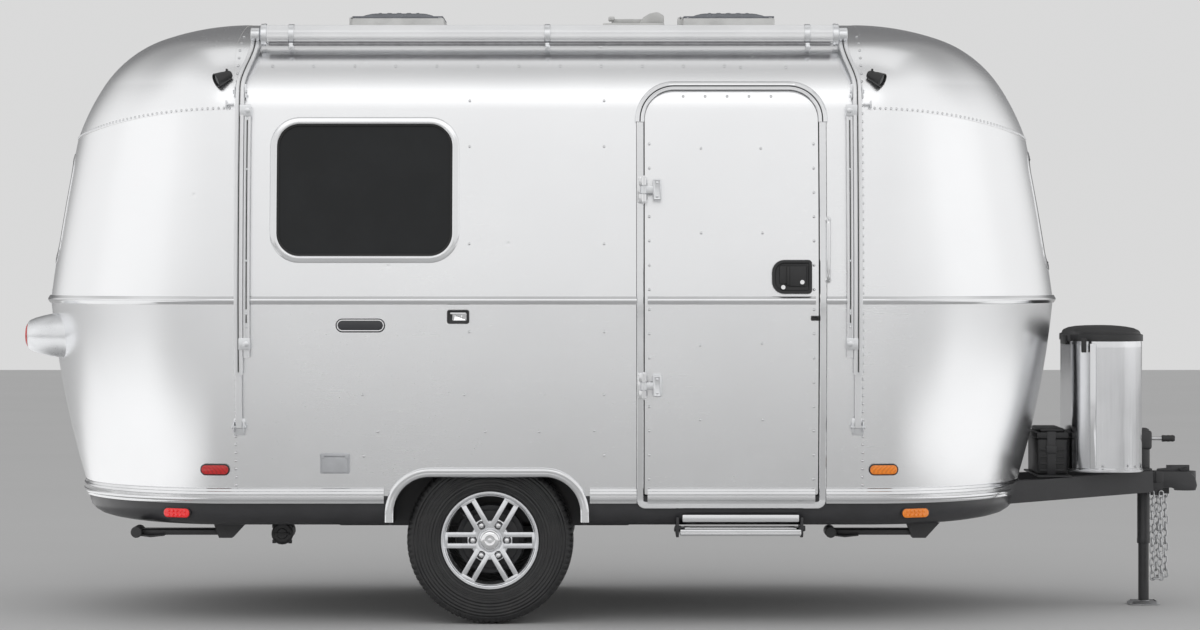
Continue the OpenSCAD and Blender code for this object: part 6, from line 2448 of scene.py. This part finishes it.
@dataclass
class Underbody:
    """The dark pan, the folded step, the stabilisers and the drain."""

    shop: Shop
    pan: Pairs = (
        (0.0, 0.5400), (0.0022, 0.522), (0.004, 0.505), (0.009, 0.482), (0.016, 0.462), (0.032, 0.445), (0.056, 0.430),
        (0.086, 0.421), (0.120, 0.415)
    )
    reach: Pair = (0.725, 1.060)
    tub: tuple[float, float, float] = (-0.670, 0.150, -0.736)
    door_x: float = DOOR_X

    def build(self) -> None:
        """Makes the underside's pieces."""
        self.skirt()
        self.step()
        self.legs()
        self.drain()

    def skirt(self) -> None:
        """The pan: a rounded skirt, a flat bottom with a tank, and wheel openings."""
        rows = np.array(list(self.pan) + [(0.40, 0.415), (0.70, 0.415)])
        path, ways = Mouldings.loop(*self.reach, 48)
        path, ways = np.concatenate([path, path[:1]]), np.concatenate([ways, ways[:1]])
        k, m = len(path) - 1, len(rows) - 1

        def place(u: Array, v: Array) -> Array:
            i, j = nth(u, k), nth(v, m)
            d = rows[j, 0]
            flat = path[i] - ways[i] * d[:, None] * np.array([1.0, 0.75])
            deep = d > 0.2
            share = np.where(d > 0.5, 0.0, 0.55)
            flat[deep] = path[i][deep] * np.stack([np.where(d[deep] > 0.5, 0.55, 0.8), share[deep]], 1)
            return np.stack([flat[:, 0], flat[:, 1], rows[j, 1]], 1)

        skin = Bench.sheet("pan_skirt", k, m, place, (0, 0, 0.54))
        Bench.thicken(skin, 0.008)
        x0, x1, y = self.tub
        for s in (-1, 1):
            lo, hi = sorted((s * 1.3, s * abs(y)))
            Bench.cut(skin, Bench.block("cutter", (x0, lo, 0.35), (x1, hi, 0.57), 0))
        tank = Bench.plate(
            "tank", [(-0.930, 0.414), (-0.900, 0.390), (0.330, 0.390), (0.380, 0.414)], 1.28, (0, -0.64, 0), "Y", 0.006
        )
        self.shop.unite("pan_skirt", [skin, tank], Finish.PAN, "pan", nodes=["belly_pan"], smooth=30)

    def step(self) -> None:
        """Folded entry step: two ribbed treads between black side plates."""
        x0, x1 = self.door_x + 0.142, self.door_x + 0.662
        front = -1.077
        treads = [
            Bench.block("tread_up", (x0 + 0.020, front, 0.432), (x1 - 0.014, front + 0.016, 0.463), 0.004, 3),
            Bench.block("tread_low", (x0 + 0.010, front + 0.004, 0.374), (x1 - 0.004, front + 0.205, 0.402), 0.006, 3),
        ]
        treads += [
            Bench.block(
                "tread_rib", (x0 + 0.03, front + 0.02 + k * 0.03, 0.401),
                (x1 - 0.024, front + 0.028 + k * 0.03, 0.4045), 0.001
            )
            for k in range(6)
        ]
        treads += [
            Bench.block("lip", (x0 + 0.012, front - 0.001, z), (x1 - 0.006, front + 0.006, z + 0.004), 0.0015)
            for z in (0.381, 0.392)
        ]
        self.shop.unite("step_treads", treads, Finish.MOULDING, "trim")
        plates = []
        for x in (x0 - 0.006, x1 - 0.008):
            loop = [
                (front + 0.002, 0.452), (front + 0.010, 0.374), (front + 0.040, 0.366), (front + 0.216, 0.372),
                (front + 0.217, 0.415), (front + 0.110, 0.424), (front + 0.060, 0.440)
            ]
            plates.append(Bench.plate("cheek", loop, 0.012, (x, 0, 0), "X", 0.002))
            for r, back, z in ((0.010, 0.030, 0.404), (0.008, 0.150, 0.392)):
                pivot = [(0, -0.006), (r, -0.006), (r + 0.002, -0.003), (r + 0.002, 0.018), (r, 0.021), (0, 0.021)]
                plates.append(Bench.turned("pivot", pivot, (x, front + back, z), ALONG, 18))
        self.shop.unite("step_cheeks", plates, Finish.FRAME, "frame_paint", nodes=["entry_step"])

    def legs(self) -> None:
        """Stabilisers folded up under the pan, each with a ribbed channel and a dished foot."""
        for end, px in (("rear", -1.372), ("front", 1.556)):
            for side, s in (("curb", -1), ("road", 1)):
                y, z, far = s * 0.800, 0.376, px - 0.372
                parts = [
                    Bench.block("spine", (far, y - 0.024, z + 0.004), (px, y + 0.024, z + 0.014), 0.002),
                    Bench.block("flange", (far + 0.01, y - 0.024, z - 0.014), (px, y - 0.018, z + 0.012), 0.002),
                    Bench.block("flange", (far + 0.01, y + 0.018, z - 0.014), (px, y + 0.024, z + 0.012), 0.002),
                    Bench.turned(
                        "knuckle", spool((0.0086, 0.024), (0.018, 0.024), (0.020, 0.021)), (px, y, z), ACROSS, 28
                    ),
                    Bench.turned("roller", spool((0, 0.070), (0.021, 0.070), (0.024, 0.066)), (far, y, z), ACROSS, 28),
                ]
                foot = Bench.plate(
                    "foot",
                    [
                        (far - 0.022, z - 0.012), (far + 0.060, z - 0.022), (far + 0.118, z - 0.016),
                        (far + 0.118, z - 0.010), (far + 0.056, z - 0.015), (far - 0.020, z - 0.004)
                    ],
                    0.120, (0, y - 0.060, 0), "Y", 0.002
                )
                parts.append(foot)
                name = f"{end}_{side}"
                self.shop.unite(
                    f"stabiliser_leg_{name}", parts, Finish.FRAME, "frame_paint", f"stabiliser_{name}",
                    nodes=[f"leg_{name}"]
                )
        self.shop.repaint("stabiliser_mounts", Finish.FRAME)

    def drain(self) -> None:
        """Drain outlet: pipe, ribbed cap with a bail and lugs."""
        x, y, z = -1.133, -0.820, 0.366
        parts = [
            Bench.turned(
                "pipe", [(0.036, 0.0), (0.038, 0.002), (0.038, 0.240), (0.034, 0.260), (0, 0.260)], (x, y + 0.020, z),
                ACROSS, 36
            ),
            Bench.turned(
                "cap",
                [
                    (0, 0.0), (0.020, 0.0), (0.024, 0.004), (0.034, 0.004), (0.040, 0.0), (0.045, 0.003),
                    (0.046, 0.010), (0.046, 0.026), (0.040, 0.028), (0, 0.028)
                ],
                (x, y, z), ACROSS, 40
            ),
            Bench.block("saddle", (x - 0.020, y + 0.120, z + 0.014), (x + 0.020, y + 0.200, 0.416), 0.004),
            Bench.block("grip", (x - 0.030, y - 0.004, z - 0.005), (x + 0.030, y + 0.006, z + 0.005), 0.003),
        ]
        parts += [
            Bench.block(
                "lug", (x + 0.047 * math.cos(f) - 0.008, y + 0.004, z + 0.047 * math.sin(f) - 0.008),
                (x + 0.047 * math.cos(f) + 0.008, y + 0.022, z + 0.047 * math.sin(f) + 0.008), 0.003
            )
            for f in (0.7, 2.4, 3.9, 5.5)
        ]
        self.shop.unite("drain_cap", parts, Finish.BLACK, "black_plastic", nodes=["drain_outlet"])


@dataclass
class Studio:
    """Pale floor, soft lamps, an even world and the camera."""

    camera_at: Point = (-0.078, -17.40, 1.490)
    lens: float = 117.8
    shift: float = -0.0392
    floor_colour: Point = (0.56, 0.56, 0.56)
    front: Pairs = ((0.45, 0.80), (0.50, 0.88), (0.60, 0.90), (0.74, 0.92), (0.86, 1.0), (0.95, 0.66), (1.0, 0.50))
    behind: Pairs = ((0.45, 0.60), (0.50, 0.66), (0.54, 0.68), (0.62, 0.42), (0.80, 0.30), (1.0, 0.48))
    backdrop: Point = (0.72, 0.72, 0.72)
    room_strength: float = 0.97

    def build(self) -> None:
        """Sets up the whole stage."""
        scene = bpy.context.scene
        scene.view_settings.view_transform = "Standard"
        self.camera(scene)
        self.floor()
        self.world(scene)
        self.lamps()

    def camera(self, scene: bpy.types.Scene) -> None:
        """Level camera with the horizon above the middle of the picture."""
        data = bpy.data.cameras.new("camera")
        data.lens, data.sensor_width, data.shift_y = self.lens, 36.0, self.shift
        data.clip_end = 200
        eye = bpy.data.objects.new("camera", data)
        eye.location = self.camera_at
        eye.rotation_euler = (math.pi / 2, 0, 0)
        scene.collection.objects.link(eye)
        scene.camera = eye

    def floor(self) -> None:
        """A wide pale floor."""
        Bench.fresh()
        bpy.ops.mesh.primitive_plane_add(size=80, location=(0, 0, -0.001))
        ground = Bench.take("floor")
        p = Paint("studio_floor")
        tone = p.noise(p.place, 0.6, 2.0)
        colour = p.mix(tone, lighter(self.floor_colour, 0.97), lighter(self.floor_colour, 1.03))
        ground.data.materials.append(p.close(Base_Color=colour, Roughness=0.75))

    def world(self, scene: bpy.types.Scene) -> None:
        """A pale room: white in front and to the sides, greyer behind and overhead."""
        sky = bpy.data.worlds.new("studio")
        scene.world = sky
        sky.use_nodes = True
        p = Paint("room", sky.node_tree)
        x, y, z = (p.node("SeparateXYZ", axis, None, Vector=p.way) for axis in "XYZ")
        front, behind = (
            p.node("ValToRGB", 0, {"stops": [(s, (v, v, v)) for s, v in stops]}, Fac=z * 0.5 + 0.5)
            for stops in (self.front, self.behind)
        )
        level = p.mix(p.ramp(y, -0.15, 0.70), front, behind)
        beside = p.ramp(x.size(), 0.30, 0.80) * (1.0 - p.ramp(z, 0.35, 0.75))
        level = p.mix(beside * 0.9, level, (1.0, 1.0, 1.0))
        level = p.mix(p.ramp(y, 0.80, 0.94) * 0.8, level, (0.05, 0.05, 0.055))
        level = p.mix(p.node("LightPath", "Is Camera Ray"), level, self.backdrop)
        back = p.node("Background", 0, None, Color=level, Strength=self.room_strength)
        out = sky.node_tree.nodes.new("ShaderNodeOutputWorld")
        sky.node_tree.links.new(back.socket, out.inputs["Surface"])

    def lamps(self) -> None:
        """Large soft boxes above, in front and to both sides, two lying low, and one that whitens the floor."""
        for name, spot, aim, size, power, mirrored in (
            ("key", (-0.5, -8.5, 7.5), (0, 0, 1.6), (9.0, 3.0), 34.0, True),
            ("fill", (8.0, -2.0, 2.0), (1.5, 0, 1.1), (6.0, 5.0), 8.0, True),
            ("edge", (-8.0, -2.0, 2.0), (-1.5, 0, 1.1), (6.0, 5.0), 8.0, True),
            ("top", (0.0, 0.5, 7.0), (0, 0, 1.5), (7.0, 4.0), 30.0, True),
            ("low_left", (-6.6, -0.4, 0.02), (-6.6, -0.4, 2.0), (7.2, 8.0), 112.0, True),
            ("low_right", (6.6, -0.4, 0.02), (6.6, -0.4, 2.0), (7.2, 8.0), 112.0, True),
            ("floor_front", (-0.3, -13.0, 4.0), (-0.3, -13.0, 0), (15.0, 6.0), 370.0, False),
        ):
            data = bpy.data.lights.new(name, "AREA")
            data.shape, data.size, data.size_y, data.energy = "RECTANGLE", size[0], size[1], power
            lamp = bpy.data.objects.new(name, data)
            lamp.location, lamp.visible_glossy, lamp.visible_camera = spot, mirrored, False
            lamp.rotation_euler = (Vector(aim) - Vector(spot)).to_track_quat("-Z", "Y").to_euler()
            bpy.context.scene.collection.objects.link(lamp)


def main() -> None:
    """Builds the caravan piece by piece."""
    logging.basicConfig(level=logging.INFO, format="%(name)s %(message)s", stream=sys.stdout)
    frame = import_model()
    shop = Shop(frame)
    Studio().build()
    shell = Shell(shop)
    for assembly in (
        shell,
        Rivets(shop),
        Mouldings(shop),
        Door(shop),
        Windows(shop, shell),
        Awning(shop),
        Lamps(shop),
        Fittings(shop),
        Roof(shop),
        Tongue(shop),
        Wheels(shop),
        Underbody(shop),
    ):
        LOG.info("building %s", type(assembly).__name__)
        assembly.build()
    LOG.info("%d pieces", shop.count)


if __name__ == "__main__":
    main()
